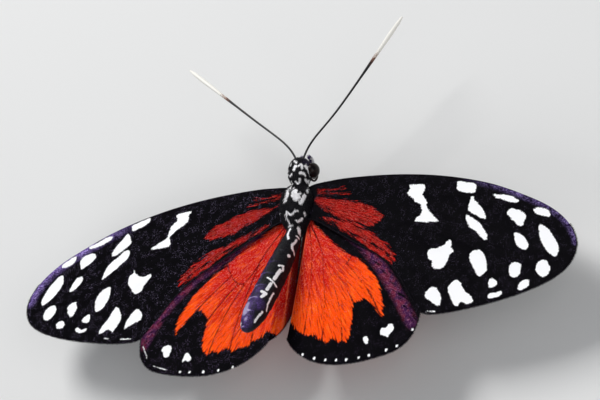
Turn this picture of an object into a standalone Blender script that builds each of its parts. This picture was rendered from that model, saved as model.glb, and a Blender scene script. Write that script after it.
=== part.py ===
"""Life-size still model of a longwing butterfly at rest with its wings spread.

Sizes are in millimetres and MM turns them into metres when a mesh is made. Points are given as
(out, fwd, up): out from the middle plane, fwd towards the head and up above the middle of the thorax.
The head looks along -Y, the animal's left side is at +X and its feet stand on Z = 0.
"""

import math

import bmesh
import bpy
import numpy as np
from mathutils import Vector
from mathutils.geometry import delaunay_2d_cdt

MM = 0.001
GAP = 0.3
STAND_HEIGHT = 7.0
SIDES = {"left": 1, "right": -1}

THORAX_FRONT = 3.6
THORAX_REAR = -3.8
THORAX_HALF_WIDTH = 2.3
THORAX_HALF_HEIGHT = 2.4

HEAD_UP = 0.3
HEAD_HALF_WIDTH = 1.75
HEAD_HALF_HEIGHT = 1.8
HEAD_FRONT = 7.1
NECK_REAR = 2.6
EYE_CENTRE = (1.35, 5.35, 0.35)
EYE_HALF = (0.78, 1.2, 1.25)

ABDOMEN_ROOT = (0.0, -3.2, -0.1)
ABDOMEN_RISE = math.radians(25.6)
ABDOMEN_LENGTH = 18.8
ABDOMEN_SEGMENTS = 8
ABDOMEN_WAIST = 1.05
ABDOMEN_BELLY = 1.65

ANTENNA_PATHS = {
    "left": [(0.35, 6.0, 0.85), (0.4, 6.75, 0.95), (2.52, 9.38, 1.3), (8.49, 13.9, 2.04), (19.01, 21.91, 3.6)],
    "right": [(0.35, 6.0, 0.85), (0.7, 6.85, 0.95), (2.29, 9.26, 1.3), (7.71, 13.59, 2.72), (17.55, 24.0, 4.8)]}
ANTENNA_RADIUS = 0.25
ANTENNA_SIDES = 8
CLUB_RADIUS = 0.38
CLUB_TIP_RADIUS = 0.2
CLUB_SHARE = 0.24

PALP_PATH = [(0.5, 6.0, -0.9), (0.58, 7.0, -0.85), (0.6, 7.75, -0.3), (0.55, 8.1, 0.5)]
PALP_RADII = (0.34, 0.2)
TONGUE_RADIUS = 0.2
TONGUE_TURNS = 1.25
TONGUE_START = math.radians(75)
TONGUE_COIL = (1.15, 0.3)
TONGUE_CENTRE = (0.0, 6.0, -2.75)
TONGUE_ROOT = (0.0, 6.5, -0.9)

MEMBRANE = 0.5
VEIN_RIDGE = 0.12
VEIN_HALF_WIDTH = 0.38
OUTLINE_STEP = 1.3
VEIN_STEP = 2.0

FORE_ROOT = (2.2, 1.5, 0.1)
FORE_DIHEDRAL = math.radians(1.0)
FORE_INCIDENCE = math.radians(-6.0)
HIND_ROOT = (2.0, -2.0, -0.9)
HIND_DIHEDRAL = math.radians(1.6)
HIND_INCIDENCE = math.radians(-6.5)
FOLD_LINE = -0.4
FOLD_SLOPE = 0.9

# Wing outlines and veins, as (outward, forward) on the wing's own plane from its root
FORE_OUTLINE = [
    (-1.2, 1.2), (3.0, 2.0), (9.0, 1.9), (15.5, 1.3), (22.0, 0.15), (28.6, -1.7), (34.2, -4.1),
    (38.6, -6.5), (41.6, -9.2), (43.0, -12.2), (42.2, -14.9), (39.6, -16.8), (35.0, -18.3),
    (29.5, -19.3), (24.3, -19.8), (20.9, -19.4), (18.9, -17.0), (16.2, -13.3), (13.0, -10.5),
    (9.6, -8.6), (5.6, -6.3), (1.6, -4.0), (-1.2, -2.6)]
HIND_OUTLINE = [
    (-1.2, 0.9), (2.5, 2.0), (7.0, 1.3), (12.0, -1.4), (16.3, -5.4), (19.4, -10.0), (21.0, -14.0),
    (21.2, -16.6), (20.4, -19.1), (18.3, -20.8), (14.8, -21.7), (11.0, -22.1), (7.2, -21.9),
    (3.8, -20.9), (1.2, -19.3), (-0.6, -17.3), (-1.2, -14.5), (-1.35, -8.0), (-1.3, -3.5),
    (-1.3, -1.5)]
FORE_VEINS = {
    "subcosta": [(0.0, 0.9), (8.0, 1.0), (16.0, 0.5), (23.5, -0.7)],
    "radius_stem": [(0.0, 0.1), (8.0, 0.0), (14.0, -0.7), (17.4, -1.6)],
    "radius_1": [(12.5, -0.5), (20.0, -0.9), (28.0, -2.2)],
    "radius_2": [(17.4, -1.6), (24.5, -2.8), (30.0, -3.0), (35.0, -4.9)],
    "radius_4": [(24.5, -2.8), (30.5, -5.0), (36.0, -5.6), (40.2, -8.3)],
    "radius_5": [(30.5, -5.0), (34.5, -8.2), (38.5, -8.2), (42.0, -10.8)],
    "cell_end": [(17.4, -1.6), (17.6, -3.0), (17.2, -4.3), (16.4, -5.6)],
    "media_1": [(17.6, -3.0), (24.0, -6.6), (30.0, -10.3), (36.5, -12.4), (42.4, -13.4)],
    "media_2": [(17.2, -4.3), (24.0, -7.9), (31.0, -11.9), (36.2, -13.9), (40.2, -16.0)],
    "media_3": [(16.4, -5.6), (23.0, -8.4), (28.6, -11.3), (32.3, -14.8), (34.0, -18.2)],
    "cubitus_stem": [(0.0, -0.6), (5.0, -3.4), (9.8, -5.8), (13.6, -6.4), (16.4, -5.6)],
    "cubitus_1": [(13.6, -6.4), (20.0, -8.6), (25.0, -11.8), (28.3, -15.4), (29.4, -18.9)],
    "cubitus_2": [(9.8, -5.8), (15.0, -9.6), (20.5, -13.9), (23.9, -16.8), (24.9, -19.3)],
    "anal": [(0.0, -1.8), (6.0, -5.6), (13.5, -9.9), (18.0, -14.6), (21.0, -18.6)]}
HIND_VEINS = {
    "subcosta": [(0.3, 0.3), (4.5, 0.8), (10.5, -1.6), (15.6, -5.9), (19.3, -11.0)],
    "radius": [(0.3, 0.1), (6.0, -1.8), (12.0, -5.6), (17.0, -10.6), (20.6, -15.8)],
    "cell_top": [(6.0, -1.8), (8.0, -3.6), (8.6, -5.4), (7.6, -7.3), (6.3, -8.6), (5.2, -8.7)],
    "media_1": [(8.6, -5.4), (13.5, -9.7), (17.3, -14.4), (19.4, -19.2)],
    "media_2": [(7.6, -7.3), (12.0, -11.8), (15.0, -16.4), (16.2, -20.8)],
    "media_3": [(6.3, -8.6), (9.8, -13.2), (11.9, -17.6), (12.7, -21.5)],
    "cubitus_stem": [(0.2, -0.6), (2.2, -3.6), (4.0, -7.0), (5.2, -8.7)],
    "cubitus_1": [(5.2, -8.7), (7.6, -13.6), (8.9, -18.0), (9.3, -21.6)],
    "cubitus_2": [(3.2, -5.4), (4.6, -11.0), (5.5, -16.0), (5.8, -21.1)],
    "anal": [(0.0, -0.8), (1.5, -6.0), (2.2, -12.0), (2.5, -19.4)]}

SOLE_DEPTH = 0.13
KNEE_REACH = 0.75

# Leg paths as (out, fwd, up above the floor), with the radius at each point
LEGS = {
    "fore": [((0.8, 2.2, 5.3), 0.36), ((1.3, 2.9, 4.1), 0.32), ((1.8, 4.6, 4.0), 0.28),
             ((1.85, 5.15, 3.55), 0.27), ((1.75, 4.95, 2.95), 0.26), ((1.45, 3.9, 2.6), 0.25),
             ((1.25, 3.2, 2.5), 0.22)],
    "mid": [((0.9, 0.2, 5.4), 0.5), ((2.2, 0.4, 4.0), 0.42), ((5.2, 0.9, 4.7), 0.32),
            ((6.9, 2.0, 0.9), 0.26), ((7.2, 2.4, 0.22), 0.26), ((8.4, 5.0, 0.22), 0.24)],
    "hind": [((0.8, -1.7, 5.5), 0.5), ((2.0, -2.9, 4.0), 0.42), ((4.7, -5.6, 4.5), 0.32),
             ((6.2, -10.0, 0.9), 0.26), ((6.5, -10.9, 0.22), 0.26), ((7.2, -15.2, 0.22), 0.24)]}

COLOURS = {
    "body": (0.02, 0.018, 0.022), "eye": (0.015, 0.01, 0.01), "feeler": (0.02, 0.02, 0.02),
    "leg": (0.03, 0.028, 0.028), "forewing": (0.012, 0.01, 0.014), "hindwing": (0.8, 0.11, 0.01)}


def remove_scene_objects():
    for old in list(bpy.data.objects):
        bpy.data.objects.remove(old, do_unlink=True)


def world(points, side=1):
    """Turn (out, fwd, up) in millimetres into world metres on one side of the body."""
    out, fwd, up = np.asarray(points, float).reshape(-1, 3).T
    return np.column_stack([side * out, -fwd, up + STAND_HEIGHT]) * MM


def material(name):
    """One plain material for each kind of part."""
    made = bpy.data.materials.get(name)
    if made is None:
        made = bpy.data.materials.new(name)
        made.use_nodes = True
        shader = made.node_tree.nodes["Principled BSDF"]
        shader.inputs["Base Color"].default_value = (*COLOURS[name], 1.0)
        shader.inputs["Roughness"].default_value = 0.12 if name == "eye" else 0.6
        shader.inputs["Metallic"].default_value = 0.0
    return made


def mesh_object(name, verts, faces, kind=None):
    """A new object from world points, with its faces turned outward."""
    mesh = bpy.data.meshes.new(name)
    mesh.from_pydata([tuple(v) for v in verts], [], [tuple(f) for f in faces])
    work = bmesh.new()
    work.from_mesh(mesh)
    bmesh.ops.recalc_face_normals(work, faces=work.faces)
    work.to_mesh(mesh)
    work.free()
    made = bpy.data.objects.new(name, mesh)
    bpy.context.scene.collection.objects.link(made)
    if kind:
        mesh.materials.append(material(kind))
    return made


def curve_points(points, step, closed=False):
    """Points about one step apart on a smooth curve through the given ones."""
    given = [Vector(p) for p in points]
    count = len(given)
    spans = count if closed else count - 1
    found = []
    for i in range(spans):
        a, b = given[i], given[(i + 1) % count]
        before = given[i - 1] if closed or i > 0 else a * 2 - b
        after = given[(i + 2) % count] if closed or i < spans - 1 else b * 2 - a
        pieces = max(1, round((b - a).length / step))
        for k in range(pieces):
            t = k / pieces
            found.append(0.5 * (2 * a + (b - before) * t + (2 * before - 5 * a + 4 * b - after) * t ** 2
                                + (3 * a - before - 3 * b + after) * t ** 3))
    if not closed:
        found.append(given[-1])
    return found


def tube(path, radii, sides):
    """Rings of an n-sided tube along a path of points in millimetres, as vertices and faces."""
    path = [Vector(p) for p in path]
    verts, faces = [], []
    across = None
    for i, point in enumerate(path):
        along = (path[min(i + 1, len(path) - 1)] - path[max(i - 1, 0)]).normalized()
        if across is None:
            across = Vector((1.0, 0.0, 0.0)) if abs(along.x) < 0.8 else Vector((0.0, 1.0, 0.0))
        across = (across - along * across.dot(along)).normalized()
        third = along.cross(across)
        for k in range(sides):
            angle = 2 * math.pi * (k + 0.5) / sides
            verts.append(point + radii[i] * (across * math.cos(angle) + third * math.sin(angle)))
    for i in range(len(path) - 1):
        for k in range(sides):
            a, b = i * sides + k, i * sides + (k + 1) % sides
            faces.append((a, b, b + sides, a + sides))
    first_end = (path[0] - path[1]).normalized()
    last_end = (path[-1] - path[-2]).normalized()
    verts += [path[0] + first_end * radii[0] * 0.5, path[-1] + last_end * radii[-1] * 0.5]
    last = (len(path) - 1) * sides
    for k in range(sides):
        faces.append(((k + 1) % sides, k, len(verts) - 2))
        faces.append((last + k, last + (k + 1) % sides, len(verts) - 1))
    return np.array([tuple(v) for v in verts]), faces


def lofted(stations, sides):
    """A closed body of oval rings. Each station is (centre, half width, half height)."""
    verts, faces = [], []
    for centre, half_width, half_height in stations:
        for k in range(sides):
            angle = 2 * math.pi * k / sides
            verts.append((half_width * math.cos(angle), centre[1], centre[2] + half_height * math.sin(angle)))
    for i in range(len(stations) - 1):
        for k in range(sides):
            a, b = i * sides + k, i * sides + (k + 1) % sides
            faces.append((a, b, b + sides, a + sides))
    faces.append(tuple(range(sides))[::-1])
    last = (len(stations) - 1) * sides
    faces.append(tuple(range(last, last + sides)))
    return np.array(verts), faces


def oval_profile(front, rear, half_width, half_height, up, count, blunt=2.3):
    """Stations of a blunt oval body between two ends, from front to rear."""
    middle, half = 0.5 * (front + rear), 0.5 * (front - rear)
    stations = []
    for i in range(count):
        along = math.cos(math.pi * (i + 0.35) / (count - 0.3))
        swell = (1 - abs(along) ** blunt) ** (1 / blunt)
        stations.append(((0.0, middle + half * along, up), half_width * swell, half_height * swell))
    return stations


def inflated(source, distance):
    """A hidden copy of an object whose surface is moved out by a distance in millimetres."""
    copy = source.copy()
    copy.data = source.data.copy()
    copy.name = source.name + "_cutter"
    bpy.context.scene.collection.objects.link(copy)
    work = bmesh.new()
    work.from_mesh(copy.data)
    work.normal_update()
    for vert in work.verts:
        vert.co += vert.normal * vert.calc_shell_factor() * distance * MM
    work.to_mesh(copy.data)
    work.free()
    copy.hide_render = True
    copy.display_type = "WIRE"
    return copy


def keep_largest(target):
    """Keep only the largest closed surface of an object."""
    work = bmesh.new()
    work.from_mesh(target.data)
    work.verts.ensure_lookup_table()
    left, shells = set(work.verts), []
    while left:
        shell, front = set(), [left.pop()]
        while front:
            vert = front.pop()
            shell.add(vert)
            near = [edge.other_vert(vert) for edge in vert.link_edges]
            front += [other for other in near if other in left]
            left.difference_update(near)
        shells.append(shell)
    shells.sort(key=len, reverse=True)
    scraps = [vert for shell in shells[1:] for vert in shell]
    bmesh.ops.delete(work, geom=scraps, context="VERTS")
    work.to_mesh(target.data)
    work.free()


def cut_clear(target, neighbours):
    """Cut an object so that it keeps the gap to each neighbour."""
    for neighbour in neighbours:
        cutter = inflated(neighbour, GAP)
        change = target.modifiers.new("clearance", "BOOLEAN")
        change.operation = "DIFFERENCE"
        change.solver = "EXACT"
        change.object = cutter
        shape = target.evaluated_get(bpy.context.evaluated_depsgraph_get())
        cut = bpy.data.meshes.new_from_object(shape)
        target.modifiers.clear()
        target.data = cut
        bpy.data.objects.remove(cutter, do_unlink=True)
        keep_largest(target)


def shade(target, degrees=40):
    target.data.shade_smooth()
    target.data.set_sharp_from_angle(angle=math.radians(degrees))


def make_thorax():
    stations = oval_profile(THORAX_FRONT, THORAX_REAR, THORAX_HALF_WIDTH, THORAX_HALF_HEIGHT, 0.0, 13)
    verts, faces = lofted(stations, 28)
    return mesh_object("thorax", world(verts), faces, "body")


def make_head(thorax, eyes):
    stations = oval_profile(HEAD_FRONT, NECK_REAR, HEAD_HALF_WIDTH, HEAD_HALF_HEIGHT, HEAD_UP, 12, 2.1)
    verts, faces = lofted(stations, 26)
    head = mesh_object("head", world(verts), faces, "body")
    cut_clear(head, [thorax, *eyes])
    return head


def make_eye(name, side):
    work = bmesh.new()
    bmesh.ops.create_uvsphere(work, u_segments=18, v_segments=10, radius=1.0)
    verts = np.array([tuple(v.co) for v in work.verts]) * EYE_HALF + EYE_CENTRE
    faces = [[v.index for v in face.verts] for face in work.faces]
    work.free()
    return mesh_object("eye_" + name, world(verts, side), faces, "eye")


def abdomen_radius(along):
    """Half width of the abdomen at a share of its length, waist to tip, with a step at each ring."""
    swell = ABDOMEN_WAIST + (ABDOMEN_BELLY - ABDOMEN_WAIST) * math.sin(math.pi * min(1.0, along / 1.3)) ** 1.5
    tip = math.sqrt(max(0.0, 1 - max(0.0, (along - 0.8) / 0.2) ** 2.4))
    return swell * (0.16 + 0.84 * tip)


def make_abdomen(thorax):
    """Rings stacked along the raised axis, each a little wider at its rear edge."""
    axis = Vector((0.0, -math.cos(ABDOMEN_RISE), math.sin(ABDOMEN_RISE)))
    path, radii = [], []
    for ring in range(ABDOMEN_SEGMENTS):
        for share, lip in ((0.0, 0.97), (0.4, 1.0), (0.88, 1.03)):
            along = (ring + share) / ABDOMEN_SEGMENTS
            path.append(Vector(ABDOMEN_ROOT) + axis * ABDOMEN_LENGTH * along)
            radii.append(abdomen_radius(along) * lip)
    path.append(Vector(ABDOMEN_ROOT) + axis * ABDOMEN_LENGTH * 0.995)
    radii.append(abdomen_radius(0.995) * 0.9)
    verts, faces = tube(path, radii, 20)
    abdomen = mesh_object("abdomen", world(verts), faces, "body")
    cut_clear(abdomen, [thorax])
    return abdomen


def make_antenna(name, side, head):
    """A thin shaft that bends outward near the head, with a long slender club at its end."""
    path = curve_points(ANTENNA_PATHS[name], 1.0)
    radii = []
    for i in range(len(path)):
        share = max(0.0, 1.0 - (len(path) - 1 - i) / (CLUB_SHARE * len(path)))
        radii.append(ANTENNA_RADIUS + (CLUB_RADIUS - ANTENNA_RADIUS) * math.sin(0.86 * math.pi * share) ** 0.7)
    radii[-1] = CLUB_TIP_RADIUS
    verts, faces = tube(path, radii, ANTENNA_SIDES)
    antenna = mesh_object("antenna_" + name, world(verts, side), faces, "feeler")
    cut_clear(antenna, [head])
    return antenna


def make_palp(name, side, head):
    """A short tapered palp that curves up in front of the face."""
    path = curve_points(PALP_PATH, 0.35)
    radii = np.linspace(*PALP_RADII, len(path)).tolist()
    verts, faces = tube(path, radii, 8)
    palp = mesh_object("palp_" + name, world(verts, side), faces, "body")
    cut_clear(palp, [head])
    return palp


def make_proboscis(head):
    """The coiled tongue, a flat spiral of a little over one turn under the face."""
    path = [TONGUE_ROOT]
    centre = Vector(TONGUE_CENTRE)
    for t in np.linspace(0.0, 1.0, 30).tolist():
        angle = TONGUE_START - 2 * math.pi * TONGUE_TURNS * t
        reach = TONGUE_COIL[0] + (TONGUE_COIL[1] - TONGUE_COIL[0]) * t
        path.append(centre + reach * Vector((0.0, math.cos(angle), math.sin(angle))))
    verts, faces = tube(path, [TONGUE_RADIUS] * len(path), 8)
    proboscis = mesh_object("proboscis", world(verts), faces, "feeler")
    cut_clear(proboscis, [head])
    return proboscis


def wing_space(uv, root, dihedral, incidence, fold):
    """Points of the wing's middle surface as (out, fwd, up), with the inner margin folded down."""
    u, v = np.asarray(uv, float).T
    across = np.array([math.cos(dihedral), 0.0, math.sin(dihedral)])
    along = np.array([-math.sin(dihedral) * math.sin(incidence), math.cos(incidence),
                      math.cos(dihedral) * math.sin(incidence)])
    points = np.asarray(root) + np.outer(u, across) + np.outer(v, along)
    if fold:
        points[:, 2] -= FOLD_SLOPE * np.maximum(0.0, FOLD_LINE - u)
    return points


def vein_ribbons(veins):
    """Centre line and both edges of each vein, as chains of (u, v) points."""
    centres, chains = [], []
    for points in veins.values():
        line = np.array([tuple(p)[:2] for p in curve_points([(*p, 0.0) for p in points], VEIN_STEP)])
        along = np.gradient(line, axis=0)
        along /= np.linalg.norm(along, axis=1)[:, None]
        across = np.column_stack([-along[:, 1], along[:, 0]]) * VEIN_HALF_WIDTH
        centres.append(line)
        chains += [line, line + across, line - across]
    return centres, chains


def distance_to_lines(points, lines):
    """Distance from each point to the nearest of a list of polylines."""
    nearest = np.full(len(points), 1e9)
    for line in lines:
        for a, b in zip(line[:-1], line[1:]):
            span = b - a
            t = np.clip((points - a) @ span / (span @ span), 0.0, 1.0)
            nearest = np.minimum(nearest, np.linalg.norm(points - a - t[:, None] * span, axis=1))
    return nearest


def wing_faces(outline, veins, fold):
    """Triangles inside the outline, with an edge along each vein and along the fold."""
    rim = [tuple(p)[:2] for p in curve_points([(*p, 0.0) for p in outline], OUTLINE_STEP, closed=True)]
    centres, chains = vein_ribbons(veins)
    if fold:
        chains.append(np.array([(FOLD_LINE, -0.5), (FOLD_LINE, -6.0), (FOLD_LINE, -12.0), (FOLD_LINE, -17.3)]))
    points = [Vector(p) for p in rim]
    edges = []
    for chain in chains:
        first = len(points)
        points += [Vector(p) for p in chain]
        edges += [(first + i, first + i + 1) for i in range(len(chain) - 1)]
    made = delaunay_2d_cdt(points, edges, [list(range(len(rim)))], 1, 0.06)
    return np.array([tuple(p) for p in made[0]]), made[2], centres


def make_wing(name, side, outline, veins, plane, kind, neighbours, fold=False):
    """A thin plate whose two faces share one set of triangles, raised along its veins."""
    uv, triangles, centres = wing_faces(outline, veins, fold)
    middle = wing_space(uv, *plane, fold)
    tris = np.array(triangles)
    normal = np.zeros_like(middle)
    face = np.cross(middle[tris[:, 1]] - middle[tris[:, 0]], middle[tris[:, 2]] - middle[tris[:, 0]])
    for corner in range(3):
        np.add.at(normal, tris[:, corner], face)
    normal /= np.linalg.norm(normal, axis=1)[:, None]
    ridge = VEIN_RIDGE * np.clip(1.0 - distance_to_lines(uv, centres) / VEIN_HALF_WIDTH, 0.0, 1.0)
    reach = (0.5 * MEMBRANE + ridge)[:, None] * normal
    verts = np.vstack([middle + reach, middle - reach])
    count = len(middle)
    faces = [tuple(t) for t in tris] + [tuple(t[::-1] + count) for t in tris]
    sides = {}
    for a, b, c in triangles:
        for edge in ((a, b), (b, c), (c, a)):
            if edge[::-1] in sides:
                del sides[edge[::-1]]
            else:
                sides[edge] = True
    faces += [(b, a, a + count, b + count) for a, b in sides]
    wing = mesh_object(name, world(verts, side), faces, kind)
    cut_clear(wing, neighbours)
    return wing


def make_leg(name, side, points, thorax):
    """A jointed leg with rings close to each knee, so that the bends stay round. Its soles are flat."""
    path, radii = [], []
    for i in range(len(points) - 1):
        (a, radius_a), (b, radius_b) = points[i], points[i + 1]
        length = (Vector(b) - Vector(a)).length
        near = min(0.32, max(0.12, KNEE_REACH * radius_a / length))
        for share in (0.0, near, 0.5, 1.0 - near):
            path.append(Vector(a).lerp(Vector(b), share))
            radii.append(radius_a + (radius_b - radius_a) * share)
    path.append(Vector(points[-1][0]))
    radii.append(points[-1][1] * 0.8)
    verts, faces = tube(path, radii, 8)
    verts[verts[:, 2] < SOLE_DEPTH, 2] = 0.0
    verts[:, 2] -= STAND_HEIGHT
    leg = mesh_object(name, world(verts, side), faces, "leg")
    cut_clear(leg, [thorax])
    return leg


def centre_on_origin(objects):
    """Stand the model with the middle of its bounding box above the origin."""
    root = bpy.data.objects.new("butterfly", None)
    bpy.context.scene.collection.objects.link(root)
    corners = np.array([tuple(v.co) for made in objects for v in made.data.vertices])
    low, high = corners.min(axis=0), corners.max(axis=0)
    for made in objects:
        made.parent = root
    root.location = (0.0, -0.5 * (low[1] + high[1]), -low[2])


def build():
    remove_scene_objects()
    thorax = make_thorax()
    eyes = [make_eye(name, side) for name, side in SIDES.items()]
    head = make_head(thorax, eyes)
    abdomen = make_abdomen(thorax)
    made = [thorax, head, abdomen, make_proboscis(head), *eyes]
    fore_plane = (FORE_ROOT, FORE_DIHEDRAL, FORE_INCIDENCE)
    hind_plane = (HIND_ROOT, HIND_DIHEDRAL, HIND_INCIDENCE)
    for name, side in SIDES.items():
        made.append(make_antenna(name, side, head))
        made.append(make_palp(name, side, head))
        made.append(make_wing("forewing_" + name, side, FORE_OUTLINE, FORE_VEINS, fore_plane,
                              "forewing", [thorax]))
        made.append(make_wing("hindwing_" + name, side, HIND_OUTLINE, HIND_VEINS, hind_plane,
                              "hindwing", [thorax, abdomen], fold=True))
        for pair, points in LEGS.items():
            made.append(make_leg("leg_" + pair + "_" + name, side, points, thorax))
    for part in made:
        shade(part)
    centre_on_origin(made)


build()
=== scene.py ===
"""A longwing butterfly at rest with its wings spread: scaled wings, a furred body, feelers and legs.

Points on the body are (out, fwd, up) in millimetres from the middle of the thorax: out to one side, fwd
towards the head and up. Points on a wing are (u, v) in millimetres on its own plane: u outward and v forward
from its root. A mark's outline is a run of u, v, u, v, and a drawn line is its half width and such a run.
"""

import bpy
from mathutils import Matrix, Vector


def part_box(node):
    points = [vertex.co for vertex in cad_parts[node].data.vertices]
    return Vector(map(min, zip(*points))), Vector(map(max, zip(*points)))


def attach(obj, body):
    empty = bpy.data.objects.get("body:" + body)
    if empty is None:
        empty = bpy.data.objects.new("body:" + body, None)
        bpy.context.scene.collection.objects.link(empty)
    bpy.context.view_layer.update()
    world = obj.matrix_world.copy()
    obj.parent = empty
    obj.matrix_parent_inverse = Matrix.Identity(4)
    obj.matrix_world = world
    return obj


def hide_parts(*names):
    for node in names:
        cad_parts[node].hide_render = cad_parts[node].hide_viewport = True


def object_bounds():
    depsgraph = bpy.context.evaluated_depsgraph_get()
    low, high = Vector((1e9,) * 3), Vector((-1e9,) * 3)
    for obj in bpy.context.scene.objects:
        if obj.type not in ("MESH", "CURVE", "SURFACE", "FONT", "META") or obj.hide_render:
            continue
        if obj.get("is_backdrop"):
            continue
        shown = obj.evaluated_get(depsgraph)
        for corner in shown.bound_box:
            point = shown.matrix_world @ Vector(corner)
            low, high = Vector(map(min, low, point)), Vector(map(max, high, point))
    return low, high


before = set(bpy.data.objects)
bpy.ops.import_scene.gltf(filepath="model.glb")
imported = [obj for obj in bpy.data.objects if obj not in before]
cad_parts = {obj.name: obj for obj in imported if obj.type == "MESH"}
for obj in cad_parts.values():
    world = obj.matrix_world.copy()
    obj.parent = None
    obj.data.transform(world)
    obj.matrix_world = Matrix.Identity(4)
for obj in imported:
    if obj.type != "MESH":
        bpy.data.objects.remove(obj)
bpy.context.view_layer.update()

from types import SimpleNamespace

import bpy
import numpy as np
from mathutils import Matrix, Vector

# The viewpoint: behind the animal on its right and about fifty degrees up, through a long lens. The body's
# origin is the middle of the thorax, and the camera and every piece below are placed from it.
MM = 0.001
BODY = np.mean(np.array(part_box("thorax")), axis=0) - (0.0, 0.1 * MM, 0.0)
to_camera = (Matrix.Rotation(np.radians(-5.94), 3, "Z") @ Matrix.Rotation(np.radians(-19.13), 3, "X")
             @ Matrix.Rotation(np.radians(-35.81), 3, "Y") @ Matrix.Diagonal((-1.0, -1.0, 1.0)))
camera = bpy.data.objects.new("camera", bpy.data.cameras.new("camera"))
camera.data.lens = 147.0
camera.data.sensor_width = 36.0
spot = Vector(BODY) + to_camera.transposed() @ Vector((0.278, 1.077, 338.8)) * MM
camera.matrix_world = Matrix.Translation(spot) @ to_camera.transposed().to_4x4()
camera.data.clip_start = 0.01
bpy.context.scene.collection.objects.link(camera)
bpy.context.scene.camera = camera


# Studio: a plain pale floor, a soft pale surround and three soft lamps, the largest of them high in front.
# The floor's finish and mesh are made by the same two functions as those of every piece.
def finish_of(name, roughness, specular):
    """A new material and its tools, each of which adds a node and gives back the socket with its answer."""
    made = bpy.data.materials.new(name)
    made.use_nodes = True
    tree = made.node_tree
    shader = tree.nodes["Principled BSDF"]
    shader.inputs["Roughness"].default_value = roughness
    shader.inputs["Specular IOR Level"].default_value = specular

    def fill(socket, value):
        if isinstance(value, bpy.types.NodeSocket):
            tree.links.new(value, socket)
        elif value is not None:
            socket.default_value = (*value, 1.0) if isinstance(value, tuple) else value

    def node(kind, *inputs, **settings):
        new = tree.nodes.new("ShaderNode" + kind)
        for key, value in settings.items():
            setattr(new, key, value)
        for socket, value in zip(new.inputs, inputs):
            fill(socket, value)
        return new

    def place():
        return node("TexCoord").outputs["Object"]

    def noise(scale, detail, rough, at=None):
        return node("TexNoise", place() if at is None else at, None, scale, detail, rough).outputs["Fac"]

    def field(attribute):
        return node("Attribute", attribute_name=attribute).outputs["Fac"]

    def spread(value, low, high, start=0.0, end=1.0, kind="LINEAR"):
        return node("MapRange", value, low, high, start, end, interpolation_type=kind).outputs["Result"]

    def step(value, low, high, start=0.0, end=1.0):
        return spread(value, low, high, start, end, "SMOOTHSTEP")

    def add(a, b):
        return node("Math", a, b, operation="ADD").outputs[0]

    def times(a, b):
        return node("Math", a, b, operation="MULTIPLY").outputs[0]

    def over(factor, below, above):
        mix = node("Mix", factor, data_type="RGBA")
        fill(mix.inputs[6], below)
        fill(mix.inputs[7], above)
        return mix.outputs[2]

    def paint(colour):
        fill(shader.inputs["Base Color"], colour)

    def bump(height, strength, distance, **settings):
        raised = node("Bump", **settings)
        raised.inputs["Strength"].default_value = strength
        raised.inputs["Distance"].default_value = distance
        tree.links.new(height, raised.inputs["Height"])
        tree.links.new(raised.outputs["Normal"], shader.inputs["Normal"])

    return SimpleNamespace(made=made, shader=shader, node=node, place=place, noise=noise, field=field,
                           spread=spread, step=step, add=add, times=times, over=over, paint=paint, bump=bump)


def surface(name, verts, faces, finish, smooth=True, **values):
    """A mesh piece from world points and arrays of faces, with one value per point for each named pattern."""
    mesh = bpy.data.meshes.new(name)
    corners = np.concatenate([np.ravel(f) for f in faces])
    counts = np.concatenate([np.full(len(f), f.shape[1]) for f in faces])
    mesh.vertices.add(len(verts))
    mesh.vertices.foreach_set("co", np.ravel(verts).astype(np.float32))
    mesh.loops.add(len(corners))
    mesh.loops.foreach_set("vertex_index", corners.astype(np.int32))
    mesh.polygons.add(len(counts))
    starts = np.concatenate([[0], np.cumsum(counts)[:-1]])
    mesh.polygons.foreach_set("loop_start", starts.astype(np.int32))
    mesh.polygons.foreach_set("use_smooth", np.full(len(counts), smooth))
    mesh.update(calc_edges=True)
    for key, value in values.items():
        value = np.asarray(value, np.float32)
        if value.ndim == 2:
            mesh.uv_layers.new(name=key).data.foreach_set("uv", value[corners].ravel())
        else:
            mesh.attributes.new(key, "FLOAT", "POINT").data.foreach_set("value", value)
    piece = bpy.data.objects.new(name, mesh)
    bpy.context.scene.collection.objects.link(piece)
    mesh.materials.append(finish.made)
    return piece


floor_finish = finish_of("studio floor", 0.9, 0.5)
floor_finish.paint((0.72, 0.72, 0.71))
FLOOR = np.array([(-3, -3, 0), (3, -3, 0), (3, 3, 0), (-3, 3, 0)], float)
surface("studio_floor", FLOOR, [np.array([[0, 1, 2, 3]])], floor_finish, smooth=False)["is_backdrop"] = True
world = bpy.data.worlds.new("studio")
world.use_nodes = True
surround = world.node_tree.nodes["Background"].inputs
surround["Color"].default_value = (0.9, 0.93, 1.0, 1.0)
surround["Strength"].default_value = 0.25
bpy.context.scene.world = world
bpy.context.scene.view_settings.view_transform = "Standard"
LAMPS = {"key": ((0.16, -0.30, 0.42), 0.22, 2.3), "fill": ((-0.38, 0.10, 0.32), 0.34, 0.6),
         "back": ((0.10, 0.42, 0.30), 0.30, 0.5)}
for name, (place, size, power) in LAMPS.items():
    lamp = bpy.data.objects.new(name, bpy.data.lights.new(name, "AREA"))
    lamp.data.size = size
    lamp.data.energy = power
    lamp.matrix_world = Matrix.Translation(place) @ Vector(place).to_track_quat("Z", "Y").to_matrix().to_4x4()
    bpy.context.scene.collection.objects.link(lamp)


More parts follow.
